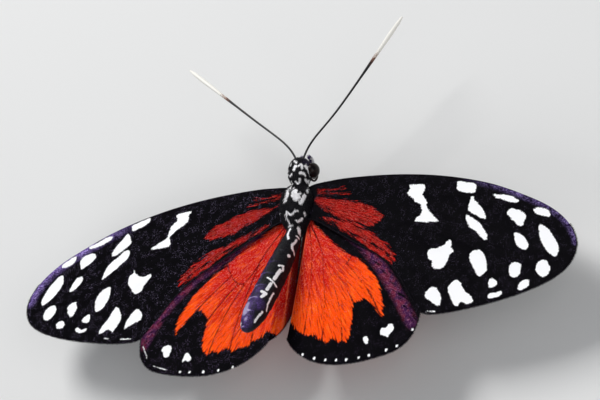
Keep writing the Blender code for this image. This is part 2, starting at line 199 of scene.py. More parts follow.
# Forewings: stiff membranes covered in scales, black with clear white spots and two deep red streaks near the
# body. The veins are fine ridges in the membrane, which is a little hollow between them.
FORE_OUTLINE = [
    (-1.2, 1.2), (3, 2), (9, 1.9), (15.5, 1.3), (22, 0.15), (28.6, -1.7), (34.2, -4.1), (38.6, -6.5),
    (41.6, -9.2), (43, -12.2), (42.2, -14.9), (39.6, -16.8), (35, -18.3), (29.5, -19.3), (24.3, -19.8),
    (20.9, -19.4), (18.9, -17), (16.2, -13.3), (13, -10.5), (9.6, -8.6), (5.6, -6.3), (1.6, -4), (-1.2, -2.6)]
FORE_VEINS = [
    [(0, 0.9), (8, 1), (16, 0.5), (23.5, -0.7)], [(0, 0.1), (8, 0), (14, -0.7), (17.4, -1.6)],
    [(12.5, -0.5), (20, -0.9), (28, -2.2)], [(17.4, -1.6), (24.5, -2.8), (30, -3), (35, -4.9)],
    [(24.5, -2.8), (30.5, -5), (36, -5.6), (40.2, -8.3)],
    [(30.5, -5), (34.5, -8.2), (38.5, -8.2), (42, -10.8)],
    [(17.4, -1.6), (17.6, -3), (17.2, -4.3), (16.4, -5.6)],
    [(17.6, -3), (24, -6.6), (30, -10.3), (36.5, -12.4), (42.4, -13.4)],
    [(17.2, -4.3), (24, -7.9), (31, -11.9), (36.2, -13.9), (40.2, -16)],
    [(16.4, -5.6), (23, -8.4), (28.6, -11.3), (32.3, -14.8), (34, -18.2)],
    [(0, -0.6), (5, -3.4), (9.8, -5.8), (13.6, -6.4), (16.4, -5.6)],
    [(13.6, -6.4), (20, -8.6), (25, -11.8), (28.3, -15.4), (29.4, -18.9)],
    [(9.8, -5.8), (15, -9.6), (20.5, -13.9), (23.9, -16.8), (24.9, -19.3)],
    [(0, -1.8), (6, -5.6), (13.5, -9.9), (18, -14.6), (21, -18.6)]]
FORE_WHITE = {"left": [
    [18.7, -0.6, 18.5, -0.3, 16.6, 0, 16.1, -0.1, 16.4, -0.9, 16.3, -1.5, 17.1, -2.3, 18.1, -2.9, 19, -3.8,
     19, -4.2, 18.7, -5.1, 19.6, -5.5, 22.1, -5.5, 22, -5.2, 20.3, -4.4, 19.6, -3.9, 19.5, -2.9, 19.2, -2.1,
     18.4, -1.4],
    [26.3, -2, 26.3, -1.2, 25.3, -0.4, 23.6, -0.2, 23.3, -0.4, 23.3, -0.9, 24.1, -1.6, 25.6, -2.1],
    [29.1, -5.9, 29.1, -5.2, 28.6, -4.4, 27.6, -3.2, 27, -2.5, 26.6, -2.7, 26.1, -3.5, 26, -4.1, 26.6, -4.7,
     27.7, -5.4, 28.4, -5.8],
    [30.1, -9.4, 29.9, -8.3, 29.3, -7.1, 28, -6.1, 26.8, -5.2, 26.1, -5.2, 25.9, -5.8, 26.2, -6.6, 27.2, -7.5,
     28.6, -8.6, 29.7, -9.3],
    [33.7, -4, 33.4, -3.6, 31.8, -3, 30.3, -2.7, 29.6, -2.8, 29.8, -3.2, 31.3, -3.9, 33.2, -4.3],
    [34.6, -7, 34.8, -6.3, 34.5, -5.6, 33.3, -5.1, 32.3, -5.2, 32, -5.7, 32.5, -6.5, 33.5, -7.1, 34.2, -7.5],
    [38, -6.8, 37.9, -6.1, 36.9, -5.5, 35.9, -5.2, 35.6, -5.4, 35.7, -6.1, 36.4, -6.7, 37.7, -6.9],
    [35.8, -10.8, 35.6, -10.1, 35, -9, 34.1, -8.6, 33.7, -8.8, 33.7, -9.5, 34.4, -10.3, 35.2, -10.8],
    [40.4, -12.6, 40.6, -11.8, 40, -10.4, 38.9, -8.9, 37.7, -8.1, 37.3, -8.4, 37.2, -9.5, 37.8, -10.6,
     38.9, -11.9, 40.1, -12.7],
    [35.3, -13.9, 35.3, -13.2, 34.6, -12.7, 34, -12.7, 33.6, -13.6, 34, -14.6, 34.5, -15, 35, -14.6],
    [39.6, -14.7, 39.6, -13.7, 38.8, -13, 37.8, -12.9, 37.4, -13.7, 37.8, -14.7, 38.6, -15.2, 39.3, -15],
    [36.9, -16, 36.5, -15.5, 35.7, -15.5, 35.3, -16, 35.5, -16.6, 36, -16.7, 36.7, -16.5],
    [32.2, -15.9, 32, -15.3, 31.2, -14.8, 30.9, -15.1, 30.9, -16, 31.5, -16.1],
    [33.1, -16.9, 32.6, -16.8, 31.9, -17.1, 31.3, -16.9, 31, -17.2, 31.5, -17.6, 32.5, -17.6, 32.9, -17.3],
    [30.3, -14.1, 30.4, -12.8, 30, -11.7, 29, -11, 28.1, -10.9, 28, -11.9, 28.2, -13, 28.9, -14, 29.8, -14.5],
    [25.1, -10.5, 25.1, -9.5, 24.6, -9.1, 24.4, -8.6, 24.1, -8.7, 23.8, -9.3, 22.6, -9.7, 21.3, -9.4,
     21.2, -10, 22, -10.9, 22.4, -11.8, 23.1, -12.3, 23.9, -12.1, 24.4, -11.4],
    [28.6, -18.1, 28.5, -17.3, 27.8, -16.2, 27.2, -15.3, 26.6, -14.2, 26.2, -14.1, 25.5, -14.9, 25.1, -15.9,
     25.4, -16.8, 26, -17.6, 26.2, -18, 27.2, -17.5, 28, -18],
    [24.2, -17.8, 24.1, -16.9, 23.8, -16, 23.1, -15.1, 22.6, -14.7, 21.7, -15.2, 21.4, -16.2, 22, -16.7,
     22.8, -17, 23.7, -17.5]], "right": [
    [15.9, -0.5, 16.6, -0.4, 18.5, -0.7, 18.6, -1.6, 18.4, -2.1, 19.2, -3.2, 19.6, -4.4, 21.3, -6.1,
     21.4, -6.5, 17.9, -6.1, 17.9, -5.6, 18.6, -4.9, 18.3, -3.7, 17.3, -3, 16.9, -2.5, 16, -1.9, 15.9, -1.4,
     16.3, -1],
    [23.7, -1, 23.9, -0.8, 26.6, -1.6, 26.7, -2.3, 26.7, -2.9, 25.2, -2.7, 23.8, -2.1],
    [25.8, -5, 26, -4.1, 26.2, -3.3, 26.6, -3.5, 26.8, -4, 27.7, -4.8, 28.6, -6.1, 28.8, -6.9, 27.5, -6.4,
     26.1, -5.5],
    [25.7, -6.3, 25.7, -5.9, 26.3, -6.2, 27.3, -6.9, 28.3, -7.7, 29.3, -9.1, 29.6, -10, 29.1, -10, 27.9, -8.9,
     26.4, -7.7],
    [29.4, -3.5, 30.4, -3.6, 32.1, -4, 33.4, -4.7, 33.7, -5.1, 33.2, -5.2, 31.6, -4.7, 30.2, -4.1],
    [32, -6.5, 32.5, -5.9, 33.5, -6.2, 34.8, -6.9, 34.9, -7.8, 34.5, -8.7, 33.6, -8.2, 32.5, -7.1],
    [35.9, -6.4, 36.8, -6.2, 38.1, -6.8, 38.6, -7.3, 38.5, -7.8, 37.4, -7.6, 36.3, -7],
    [33.4, -9.5, 33.8, -9.4, 34.8, -10, 35.7, -11.2, 35.9, -11.9, 35.2, -12.1, 34.4, -11.6, 33.7, -10.6],
    [37, -8.9, 37.4, -8.7, 38.4, -9.4, 39.5, -10.7, 40.4, -12.3, 40.5, -13.2, 40, -13.6, 39, -12.9,
     37.9, -11.6, 37.3, -10.3],
    [33.4, -14.6, 33.5, -13.9, 34.2, -13.7, 35, -14, 35.2, -14.9, 35, -15.6, 34.3, -15.9, 33.6, -15.4],
    [37.4, -14.7, 37.7, -14, 38.6, -13.9, 39.4, -14.7, 39.6, -15.4, 39.2, -16.1, 38.4, -16.2, 37.6, -15.5],
    [35.1, -17.1, 35.4, -16.6, 36.1, -16.3, 36.7, -16.6, 36.7, -17.3, 36, -17.7, 35.3, -17.7],
    [30.5, -16.5, 30.6, -15.8, 31, -15.6, 31.8, -16.1, 31.9, -16.7, 31.4, -17, 30.8, -16.9],
    [30.8, -18, 31.1, -17.7, 32, -17.7, 32.6, -17.5, 32.9, -17.8, 32.7, -18.3, 31.6, -18.5, 31, -18.5],
    [27.1, -12, 27.5, -11.4, 28.7, -11.4, 29.5, -12.2, 30, -13.5, 30, -14.5, 29.4, -15.1, 28.8, -15,
     28, -13.9, 27.3, -12.7],
    [20.5, -10.8, 20.8, -10.3, 22.1, -10.3, 23, -10, 23.4, -9.4, 24, -9.6, 24.2, -10.6, 24.7, -11.1,
     24.1, -11.6, 23.8, -12.5, 23.1, -13.4, 22.1, -13.3, 21.4, -12.8, 21.4, -12.2, 20.7, -11.6],
    [24.6, -16.8, 24.6, -16, 25.2, -15.4, 25.7, -15.3, 26.4, -15.9, 27.2, -17, 28.1, -17.7, 28.7, -18.5,
     28.4, -18.9, 27.6, -18.9, 26.9, -18.5, 26.4, -19.1, 25.7, -18.7, 25.1, -17.7],
    [21, -17, 21.3, -16.4, 22, -15.9, 22.9, -16.3, 23.6, -17.3, 23.8, -18.2, 23.6, -18.8, 22.8, -18.5,
     22, -17.9, 21.3, -17.5]]}
FORE_RED = {"left": [
    [0.6, -0.3, 1.9, -1.1, 4.6, -1, 7.6, -1.5, 9.6, -2.2, 11.5, -2.9, 12.6, -3.8, 13, -4.7, 11.9, -5.1,
     10.2, -4.9, 8, -4.6, 6.2, -3.5, 4.3, -2.8, 2.4, -1.8],
    [2.1, -3.6, 4.2, -4.3, 6.9, -5.3, 9.2, -6.2, 11.7, -7, 13.7, -8.3, 15.5, -10.1, 16.2, -11.5, 15.3, -11.7,
     13.4, -10.6, 11.4, -9.5, 9.2, -8, 7, -6.6, 4.8, -5.3, 2.6, -4.3]], "right": [
    [0.6, -0.3, 4.7, -1.1, 8.4, -2, 11.3, -3.4, 12.6, -4.8, 11, -5.8, 8, -5.6, 5, -4, 1.5, -1.8],
    [2, -3.4, 6, -4.5, 10, -6.2, 13.6, -8.5, 15.5, -10.7, 15.3, -11.9, 13.4, -11, 10.2, -8.8, 6.2, -6]]}
FORE_TICKS = {
    "left": [(0.1, 27.5, -18.8, 26.6, -19), (0.09, 24.4, -19.2, 22.6, -19.3)],
    "right": [(0.12, 21.8, -19.4, 23, -19.5)]}
FORE_RAYS = [
    (0.14, 0.8, 0.75, 3, 0.6, 5.6, 0.5), (0.15, 1, 0.25, 3.6, -0.1, 6.4, -0.5)]
FORE_CORNERS, FORE_ROWS, FORE_COLUMNS = [(-1.2, 1.2), (41.6, -9.2), (42.2, -14.9), (-1.2, -2.6)], 236, 100
FORE_PLANE = ((2.2, 1.5, 0.0), np.radians(1.0), np.radians(-6.0))
SPOT_MARGIN = 0.16
TIP_ROUND, TIP_FROM, TIP_FADE = 45, 24.0, 9.0
# The violet at the forewing tip is a painted sheen, stronger on the left wing, which faces the light.
TIP_SHEEN = {"left": (1.0, 1.1), "right": (0.5, 0.6)}
# Grey specks on the black: partly pale scales and partly painted glints of light, stronger on the left wing,
# which faces the light.
DUST_AND_GLINTS = {"left": 0.7, "right": 0.25}
HOLLOW, MEMBRANE, RIDGE, ROOT = 0.10, 0.035, 0.055, 0.05
FRINGE_GAP, FRINGE_SHORT, FRINGE_LONG, FRINGE_THICK = 0.04, 0.18, 0.32, 0.03
HAIR_POINTS, PATCH = 7, 0.003
SIDES = (("left", 1), ("right", -1))


def placed(points, side=1):
    """World points of (out, fwd, up) points: the left side is +X, the head looks along -Y."""
    return BODY + np.asarray(points, float) * (side, -1.0, 1.0) * MM


def unit(vectors):
    """Vectors made one long."""
    return vectors / np.linalg.norm(vectors, axis=1)[:, None]


def distances(points):
    """Length of a polyline up to each of its points."""
    return np.concatenate([[0.0], np.cumsum(np.linalg.norm(np.diff(points, axis=0), axis=1))])


def sampled(at, stops, points):
    """Points of a polyline at given stops along it."""
    return np.column_stack([np.interp(at, stops, column) for column in np.asarray(points).T])


def along_path(points, count):
    """Evenly spaced points along a polyline."""
    length = distances(points)
    return sampled(np.linspace(0.0, length[-1], count), length, points)


def smooth(points, count, closed=False):
    """Evenly spaced points along the Catmull-Rom curve through the given ones."""
    p = np.asarray(points, float)
    ring = np.vstack([p[-1:], p, p[:2]]) if closed else np.vstack([2 * p[0] - p[1], p, 2 * p[-1] - p[-2]])
    a, b, c, d = ring[:-3, None], ring[1:-2, None], ring[2:-1, None], ring[3:, None]
    t = np.linspace(0.0, 1.0, 16, endpoint=False)[None, :, None]
    path = 0.5 * (2 * b + (c - a) * t + (2 * a - 5 * b + 4 * c - d) * t ** 2
                  + (3 * b - a - 3 * c + d) * t ** 3)
    return along_path(np.vstack([path.reshape(-1, p.shape[1]), p[:1] if closed else p[-1:]]), count)


def pairs(run):
    """(u, v) points from a run of u, v, u, v."""
    return np.reshape(run, (-1, 2)).astype(float)


def from_line(points, line):
    """Distance of each point from a polyline: from its nearest straight piece."""
    a, span = line[:-1], np.diff(line, axis=0)
    away = points[:, None] - a
    t = np.clip((away * span).sum(2) / np.maximum((span * span).sum(1), 1e-9), 0.0, 1.0)
    return np.sqrt(((away - t[..., None] * span) ** 2).sum(2).min(1))


def from_veins(points, veins):
    """Distance of each point from the nearest of several veins."""
    return np.min([from_line(points, smooth(line, 24)) for line in veins], axis=0)


def inside(points, outline):
    """Depth of each point inside a closed outline, negative outside: distance, signed by a crossing count."""
    x, y = points[:, :1], points[:, 1:]
    (x0, y0), (x1, y1) = outline[:-1].T, outline[1:].T
    over = x0 + (y - y0) * (x1 - x0) / np.where(y1 == y0, 1e-9, y1 - y0)
    crossed = ((y0 <= y) != (y1 <= y)) & (x < over)
    return from_line(points, outline) * np.where(crossed.sum(1) % 2 == 1, 1.0, -1.0)


def deepest(points, outlines, reach=0.8):
    """Depth inside whichever of several smooth closed outlines holds a point, worked out only near each."""
    depth = np.full(len(points), -reach)
    for outline in outlines:
        ring = smooth(pairs(outline), 5 * len(outline) // 2, closed=True)
        near = np.all((points > ring.min(0) - reach) & (points < ring.max(0) + reach), axis=1)
        depth[near] = np.maximum(depth[near], inside(points[near], ring))
    return depth


def strokes(points, lines):
    """Depth inside the deepest of several drawn lines. A dot's one point is taken twice."""
    return np.max([half - from_line(points, pairs(run if len(run) > 2 else 2 * run)) for half, *run in lines],
                  axis=0)


def rim_of(grid):
    """Distance of each point of a wing from its front, outer and rear edges."""
    return from_line(grid.reshape(-1, 2), np.concatenate([grid[:, 0], grid[-1], grid[::-1, -1]]))


def wing_grid(outline, corners, rows, columns):
    """(u, v) grid that fills an outline: a Coons patch between its front, outer, rear and root sides."""
    ring = smooth(outline, 4000, closed=True)[:-1]
    cuts = [int(np.argmin(np.linalg.norm(ring - corner, axis=1))) for corner in corners]
    ring = np.roll(ring, -cuts[0], axis=0)
    cuts = [(cut - cuts[0]) % len(ring) for cut in cuts] + [len(ring)]
    ring = np.vstack([ring, ring[:1]])
    front, outer, rear, root = [along_path(ring[a:b + 1], count) for a, b, count in
                                zip(cuts[:-1], cuts[1:], (rows, columns, rows, columns))]
    rear, root = rear[::-1], root[::-1]
    s, t = np.linspace(0, 1, rows)[:, None, None], np.linspace(0, 1, columns)[None, :, None]
    return ((1 - t) * front[:, None] + t * rear[:, None] + (1 - s) * root + s * outer
            - (1 - s) * (1 - t) * front[0] - s * (1 - t) * front[-1]
            - (1 - s) * t * rear[0] - s * t * rear[-1])


def wing_point(uv, plane):
    """(out, fwd, up) on a wing's plane: its root, turned by the rise outward and the slope forward."""
    root, rise, slope = plane
    across = np.array([np.cos(rise), 0.0, np.sin(rise)])
    forward = np.array([-np.sin(rise) * np.sin(slope), np.cos(slope), np.cos(rise) * np.sin(slope)])
    return np.array(root) + uv[:, :1] * across + uv[:, 1:] * forward


def wing_piece(name, side, grid, plane, veins, finish, drop=None, **patterns):
    """Membrane on a (u, v) grid: both skins meet at the rim, with ridges at the veins and hollows between."""
    rows, columns = grid.shape[:2]
    uv = grid.reshape(-1, 2)
    vein, rim = from_veins(uv, veins), rim_of(grid)
    middle = wing_point(uv, plane)
    middle[:, 2] -= HOLLOW * (1 - np.exp(-(vein / 0.9) ** 2)) * np.clip(rim / 3.0, 0.0, 1.0)
    if drop is not None:
        middle[:, 2] -= drop(uv)
    up = np.array([-np.sin(plane[1]), 0.0, 1.0])
    half = (MEMBRANE * (1 - np.exp(-rim / 0.15))
            + RIDGE * np.exp(-(vein / 0.16) ** 2) * np.clip(rim / 0.4, 0.0, 1.0))
    half[:columns] = ROOT
    index = np.arange(len(uv)).reshape(rows, columns)
    on_rim = np.zeros((rows, columns), bool)
    on_rim[0] = on_rim[-1] = on_rim[:, 0] = on_rim[:, -1] = True
    below = np.where(on_rim, index, 0)
    below[~on_rim] = len(uv) + np.arange((~on_rim).sum())
    inner = ~on_rim.ravel()
    half[~inner] = 0.0
    verts = np.vstack([middle + half[:, None] * up, (middle - half[:, None] * up)[inner]])
    top = np.stack([index[:-1, :-1], index[1:, :-1], index[1:, 1:], index[:-1, 1:]], 2).reshape(-1, 4)
    under = np.stack([below[:-1, :-1], below[:-1, 1:], below[1:, 1:], below[1:, :-1]], 2).reshape(-1, 4)
    faces = np.vstack([top, under])
    if side > 0:
        faces = faces[:, ::-1]
    out = uv[:, 0] + 2.0
    patterns["vein"] = vein
    patterns["ray"] = np.column_stack([np.arctan2(uv[:, 1], out) * 8.0, np.hypot(out, uv[:, 1]) * 0.05])
    patterns = {key: np.concatenate([value, value[inner]]) for key, value in patterns.items()}
    return surface(name, placed(verts, side), [faces], finish, **patterns)


def tufts(name, side, root, normal, lie, length, thick, lift, patch, finish, **values):
    """Hairs: three-sided tapers that leave the skin at the angle lift and bend halfway towards the lie."""
    normal = unit(normal)
    lie = unit(lie - (lie * normal).sum(1)[:, None] * normal)
    across = np.cross(lie, normal)
    length, thick, lift = (np.broadcast_to(v, len(root))[:, None] for v in (length, thick, lift))
    first = np.sin(lift) * normal + np.cos(lift) * lie
    second = np.sin(0.4 * lift) * normal + np.cos(0.4 * lift) * lie
    knee = root + 0.5 * length * first
    turn = 2 * np.pi * np.arange(3)[None, :, None] / 3
    ring = np.cos(turn) * across[:, None] + np.sin(turn) * np.cross(first, across)[:, None]
    rings = [root[:, None] - 0.1 * length[..., None] * first[:, None] + thick[..., None] * ring,
             knee[:, None] + 0.75 * thick[..., None] * ring, (knee + 0.5 * length * second)[:, None]]
    verts = np.concatenate(rings, axis=1).reshape(-1, 3)
    start = HAIR_POINTS * np.arange(len(root))[:, None, None]
    quads = (start + np.array([[0, 1, 4, 3], [1, 2, 5, 4], [2, 0, 3, 5]])).reshape(-1, 4)
    points = (start + np.array([[3, 4, 6], [4, 5, 6], [5, 3, 6], [2, 1, 0]])).reshape(-1, 3)
    circle = PATCH / 2 * np.column_stack([np.cos(turn[0]), np.sin(turn[0])])
    uv = (patch[:, None] + np.vstack([circle, 0.5 * circle, np.zeros((1, 2))])).reshape(-1, 2)
    faces = [quads, points] if side < 0 else [quads[:, ::-1], points[:, ::-1]]
    return surface(name, placed(verts, side), faces, finish, OFBake=uv,
                   **{key: np.repeat(value, HAIR_POINTS) for key, value in values.items()})


def fringe(name, side, grid, plane, finish, dots, drop=None):
    """Fine scales along the outer and rear edges, in the wing's plane, pale at the dots and dark between."""
    edge = np.concatenate([grid[-1], grid[-2::-1, -1]])
    count = int(distances(edge)[-1] / FRINGE_GAP)
    uv = along_path(edge, count)
    heading = np.gradient(uv, axis=0)
    outward = np.column_stack([heading[:, 1], -heading[:, 0]])
    outward = unit(outward * np.sign((outward * (uv - grid.reshape(-1, 2).mean(0))).sum(1))[:, None])
    root, ahead = wing_point(uv - 0.03 * outward, plane), wing_point(uv + outward, plane)
    if drop is not None:
        root[:, 2] -= drop(uv)
        ahead[:, 2] -= drop(uv)
    lie = ahead - root + 0.25 * chance.normal(size=root.shape)
    up = np.tile([-np.sin(plane[1]), 0.0, 1.0], (count, 1))
    length, lift = chance.uniform(FRINGE_SHORT, FRINGE_LONG, count), chance.normal(0.0, 0.12, count)
    return tufts(name, side, root, up, lie, length, FRINGE_THICK, lift, 0.02 * (uv + (2.0, 24.0)), finish,
                 pale=np.clip(strokes(uv, dots) / 0.12, 0.0, 1.0), shade=chance.uniform(size=count))


def wing_finish(name, coat):
    """Scaled membrane: black under its coat of colours, with edges feathered by scales, and raised veins."""
    t = finish_of(name, 0.6, 0.02)
    ray = t.node("UVMap", uv_map="ray").outputs["UV"]
    t.scales, t.fine = t.noise(5200.0, 2.0, 0.6), t.noise(9500.0, 1.0, 0.5)
    t.broad = t.noise(900.0, 3.0, 0.55)
    t.rays, t.hairline = t.noise(3.0, 3.0, 0.6, ray), t.noise(9.0, 2.0, 0.6, ray)
    t.ragged, t.streak = t.add(t.scales, -0.5), t.add(t.hairline, -0.5)
    t.dust = t.times(t.times(t.step(t.fine, 0.63, 0.70), t.step(t.broad, 0.46, 0.58)), t.field("dust"))
    t.paint(coat(t, t.over(t.step(t.scales, 0.5, 0.8), (0.0014, 0.0011, 0.002), (0.0035, 0.00275, 0.005))))
    ridge = t.times(t.step(t.field("vein"), 0.05, 0.26, 1.0, 0.0), 1.2)
    t.bump(t.add(ridge, t.add(t.scales, t.times(t.broad, 1.4))), 0.55, 0.00005)
    return t


def fore_colours(t, ground):
    """Red streaks, then grey specks and painted glints, then a painted violet tip sheen and white spots, over
    the black.
    """
    red = t.step(t.add(t.field("red"), t.add(t.times(t.ragged, 0.9), t.times(t.streak, 1.5))), 0.02, 0.30)
    deep = t.over(t.step(t.hairline, 0.40, 0.60), (0.13, 0.0008, 0.0010), (0.40, 0.006, 0.004))
    deep = t.over(t.times(t.step(t.fine, 0.59, 0.66), 0.6), deep, (0.85, 0.20, 0.14))
    colour = t.over(t.times(red, 0.95), ground, deep)
    # Grey-violet specks: pale scales and painted glints of light.
    colour = t.over(t.dust, colour, (0.26, 0.21, 0.34))
    # Painted violet sheen near the tip's front edge: light reflected off the scales, mottled by them.
    violet = t.over(t.step(t.scales, 0.42, 0.64), (0.035, 0.010, 0.10), (0.42, 0.31, 0.74))
    colour = t.over(t.times(t.field("tip"), t.step(t.broad, 0.22, 0.55)), colour, violet)
    edge = t.add(t.field("white"), t.add(t.times(t.ragged, 0.45), t.times(t.streak, 0.35)))
    return t.over(t.step(edge, -0.02, 0.08), colour, (0.93, 0.93, 0.94))


chance = np.random.default_rng(7)
edge_finish = finish_of("margin scales", 0.7, 0.1)
tone = edge_finish.over(edge_finish.field("shade"), (0.004, 0.003, 0.005), (0.012, 0.009, 0.015))
edge_finish.paint(edge_finish.over(edge_finish.field("pale"), tone, (0.85, 0.83, 0.80)))
fore_finish = wing_finish("forewing scales", fore_colours)
fore_grid = wing_grid(FORE_OUTLINE, FORE_CORNERS, FORE_ROWS, FORE_COLUMNS)
fore_uv = fore_grid.reshape(-1, 2)
# The painted tip sheen follows the front edge out towards the tip.
lead = from_line(fore_uv, np.vstack([fore_grid[:, 0], fore_grid[-1, 1:TIP_ROUND]]))
fore_vein = from_veins(fore_uv, FORE_VEINS)
outer_part = np.clip((fore_uv[:, 0] - TIP_FROM) / TIP_FADE, 0, 1)
within = rim_of(fore_grid) - SPOT_MARGIN
for name, side in SIDES:
    ticks = FORE_TICKS[name]
    white = np.maximum(np.minimum(deepest(fore_uv, FORE_WHITE[name]), within), strokes(fore_uv, ticks))
    red = np.minimum(deepest(fore_uv, FORE_RED[name]), fore_vein + 0.08)
    strength, breadth = TIP_SHEEN[name]
    piece = wing_piece("forewing_" + name + "_scales", side, fore_grid, FORE_PLANE, FORE_VEINS, fore_finish,
                       white=white, red=np.maximum(red, strokes(fore_uv, FORE_RAYS)),
                       dust=np.full(len(fore_uv), DUST_AND_GLINTS[name]),
                       tip=strength * np.clip(1.4 - lead / breadth, 0, 1) * outer_part)
    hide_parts("forewing_" + name)
    edging = fringe("forewing_" + name + "_fringe", side, fore_grid, FORE_PLANE, edge_finish, ticks)
    for made in (piece, edging):
        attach(made, "root")


# Hindwings: softer membranes under the forewings, orange-red with a black edge, a front stripe with a painted
# violet sheen and white dots along the margin. Their inner edge is folded down beside the abdomen, where the
# fold is painted with shade and its crest with a highlight.
HIND_OUTLINE = [
    (-1.2, 0.9), (2.5, 2), (7, 1.3), (12, -1.4), (16.3, -5.4), (19.4, -10), (20.9, -14), (21, -16.6),
    (20.3, -19), (18.3, -20.8), (14.8, -21.7), (11, -22.1), (7.2, -21.9), (3.8, -20.9), (1.2, -19.3),
    (-0.5, -17.4), (-1.4, -15), (-1.85, -12), (-1.88, -8), (-1.85, -4.5), (-1.8, -1.5)]
HIND_VEINS = [
    [(0.3, 0.3), (4.5, 0.8), (10.5, -1.6), (15.6, -5.9), (19.3, -11)],
    [(0.3, 0.1), (6, -1.8), (12, -5.6), (17, -10.6), (20.6, -15.8)],
    [(6, -1.8), (8, -3.6), (8.6, -5.4), (7.6, -7.3), (6.3, -8.6), (5.2, -8.7)],
    [(8.6, -5.4), (13.5, -9.7), (17.3, -14.4), (19.4, -19.2)],
    [(7.6, -7.3), (12, -11.8), (15, -16.4), (16.2, -20.8)],
    [(6.3, -8.6), (9.8, -13.2), (11.9, -17.6), (12.7, -21.5)],
    [(0.2, -0.6), (2.2, -3.6), (4, -7), (5.2, -8.7)], [(5.2, -8.7), (7.6, -13.6), (8.9, -18), (9.3, -21.6)],
    [(3.2, -5.4), (4.6, -11), (5.5, -16), (5.8, -21.1)], [(0, -0.8), (1.5, -6), (2.2, -12), (2.5, -19.4)]]
HIND_ORANGE = {
    "left": [-2.6, -0.6, 0.4, 0, 1.4, -0.2, 2.7, -0.9, 4.6, -2.2, 6.4, -3.3, 7.7, -4.7, 9.1, -5.9, 10.8, -7.2,
             12.2, -8.6, 13.5, -10, 14.7, -12.1, 15.4, -13.7, 15.3, -15.6, 14.6, -14.7, 13.6, -13.5,
             12.8, -12.6, 12.1, -12.1, 11.4, -12.6, 10.4, -13.6, 10.4, -15.2, 10.6, -16.8, 10.2, -18.3,
             9.2, -19.1, 8.6, -18.4, 8.1, -18.8, 6.9, -18.7, 6.4, -18.2, 5.1, -18.8, 4.2, -18.3, 3, -18.2,
             2.2, -17.6, 0.9, -17, 0.1, -16.3, -2.6, -15.6],
    "right": [-2.6, -0.6, 0.2, 0, 0.8, -0.7, 2.6, -2.1, 4.4, -3.6, 6.1, -5, 7.8, -6, 9.4, -6.8, 11.1, -8.2,
              12.4, -9.4, 13.6, -11.2, 14.5, -13.2, 15.2, -16, 14.5, -15.5, 13.7, -14.5, 12.6, -13.6,
              11.6, -12.9, 10.9, -13.2, 10.1, -13.3, 9.9, -14.2, 10.1, -15.8, 10.1, -17.4, 9.8, -19.1,
              9, -18.6, 8.6, -19, 7.9, -18.6, 7.3, -18.2, 6.7, -18.8, 5.9, -18.5, 5.3, -18.1, 4.8, -18.3,
              4, -17.4, 3, -17.5, 2, -17, 0.7, -16.2, -0.4, -15.1, -2.6, -15]}
HIND_WHITE = {"left": [
    [17.2, -18, 17, -17.4, 16.2, -17.2, 15.5, -17.5, 15.5, -18.4, 15.9, -19.1, 16.6, -18.9, 16.9, -18.2],
    [13.3, -20, 13.2, -19.1, 12.8, -18.5, 12.2, -18.9, 11.8, -19.5, 12.2, -20, 12.8, -19.7]], "right": [
    [15.1, -18.1, 15.2, -17.6, 16, -17.5, 16.2, -17.1, 16.8, -17.1, 17.2, -17.7, 17.1, -18.2, 16.6, -18.6,
     16.6, -19, 15.7, -18.7, 15.2, -18.5],
    [12.5, -18.6, 13, -18.5, 13.4, -19.1, 13.3, -19.7, 12.9, -19.5, 12.5, -19]]}
HIND_DOTS = {
    "left": [(0.25, 2.6, -20.6), (0.23, 4.7, -21.2), (0.23, 7, -21.5), (0.24, 9.4, -21.6),
             (0.23, 11.7, -21.5), (0.22, 13.3, -21.4), (0.09, 15.6, -21, 18, -20.2),
             (0.09, 19.3, -19, 20.4, -17.2)],
    "right": [(0.24, 2.8, -20.2), (0.25, 4.9, -20.9), (0.24, 6.8, -21.3), (0.24, 8.6, -21.5),
              (0.25, 10.3, -21.6), (0.23, 12.3, -21.5), (0.24, 13.9, -21.3), (0.24, 16.6, -20.8),
              (0.23, 18.2, -20.4), (0.23, 20.3, -18.3)]}
HIND_STRIPE = {
    "left": [4, -0.6, 7.2, -3.2, 9, -4.4, 11.1, -5.7, 13.3, -7.2, 15.2, -8.9, 17.2, -11, 18.9, -13.7,
             20.3, -16.8],
    "right": [3.2, 0.5, 6.2, -1.9, 9.6, -4.6, 12.8, -7.8, 15.8, -11.5, 18.1, -14.6, 20, -17.3]}
HIND_CORNERS, HIND_ROWS, HIND_COLUMNS = [(-1.2, 0.9), (20.9, -14.0), (-0.5, -17.4), (-1.8, -1.5)], 150, 150
HIND_PLANE = ((2.0, -2.0, -0.5), np.radians(3.0), np.radians(-6.5))
# Where each hindwing's painted shade on its folded inner edge begins, and where the crest with its painted
# highlight runs.
FOLD = {"left": -1.2, "right": -0.3}
RED_REACH, RED_FADE = {"left": 10.0, "right": 6.5}, 10.0
VEIN_DARK = {"left": 0.13, "right": 0.07}


def fold_down(uv):
    """Drop of the inner edge: steep beyond the fold, growing to the rear. The front edge drops slightly."""
    fold = 1.6 * np.maximum(0.0, -0.35 - uv[:, 0]) * np.clip(0.45 - uv[:, 1] / 22.0, 0.0, 1.0)
    return fold + 0.25 * np.clip((uv[:, 1] + uv[:, 0] * 0.35 - 1.0) / 2.5, 0.0, 1.0)


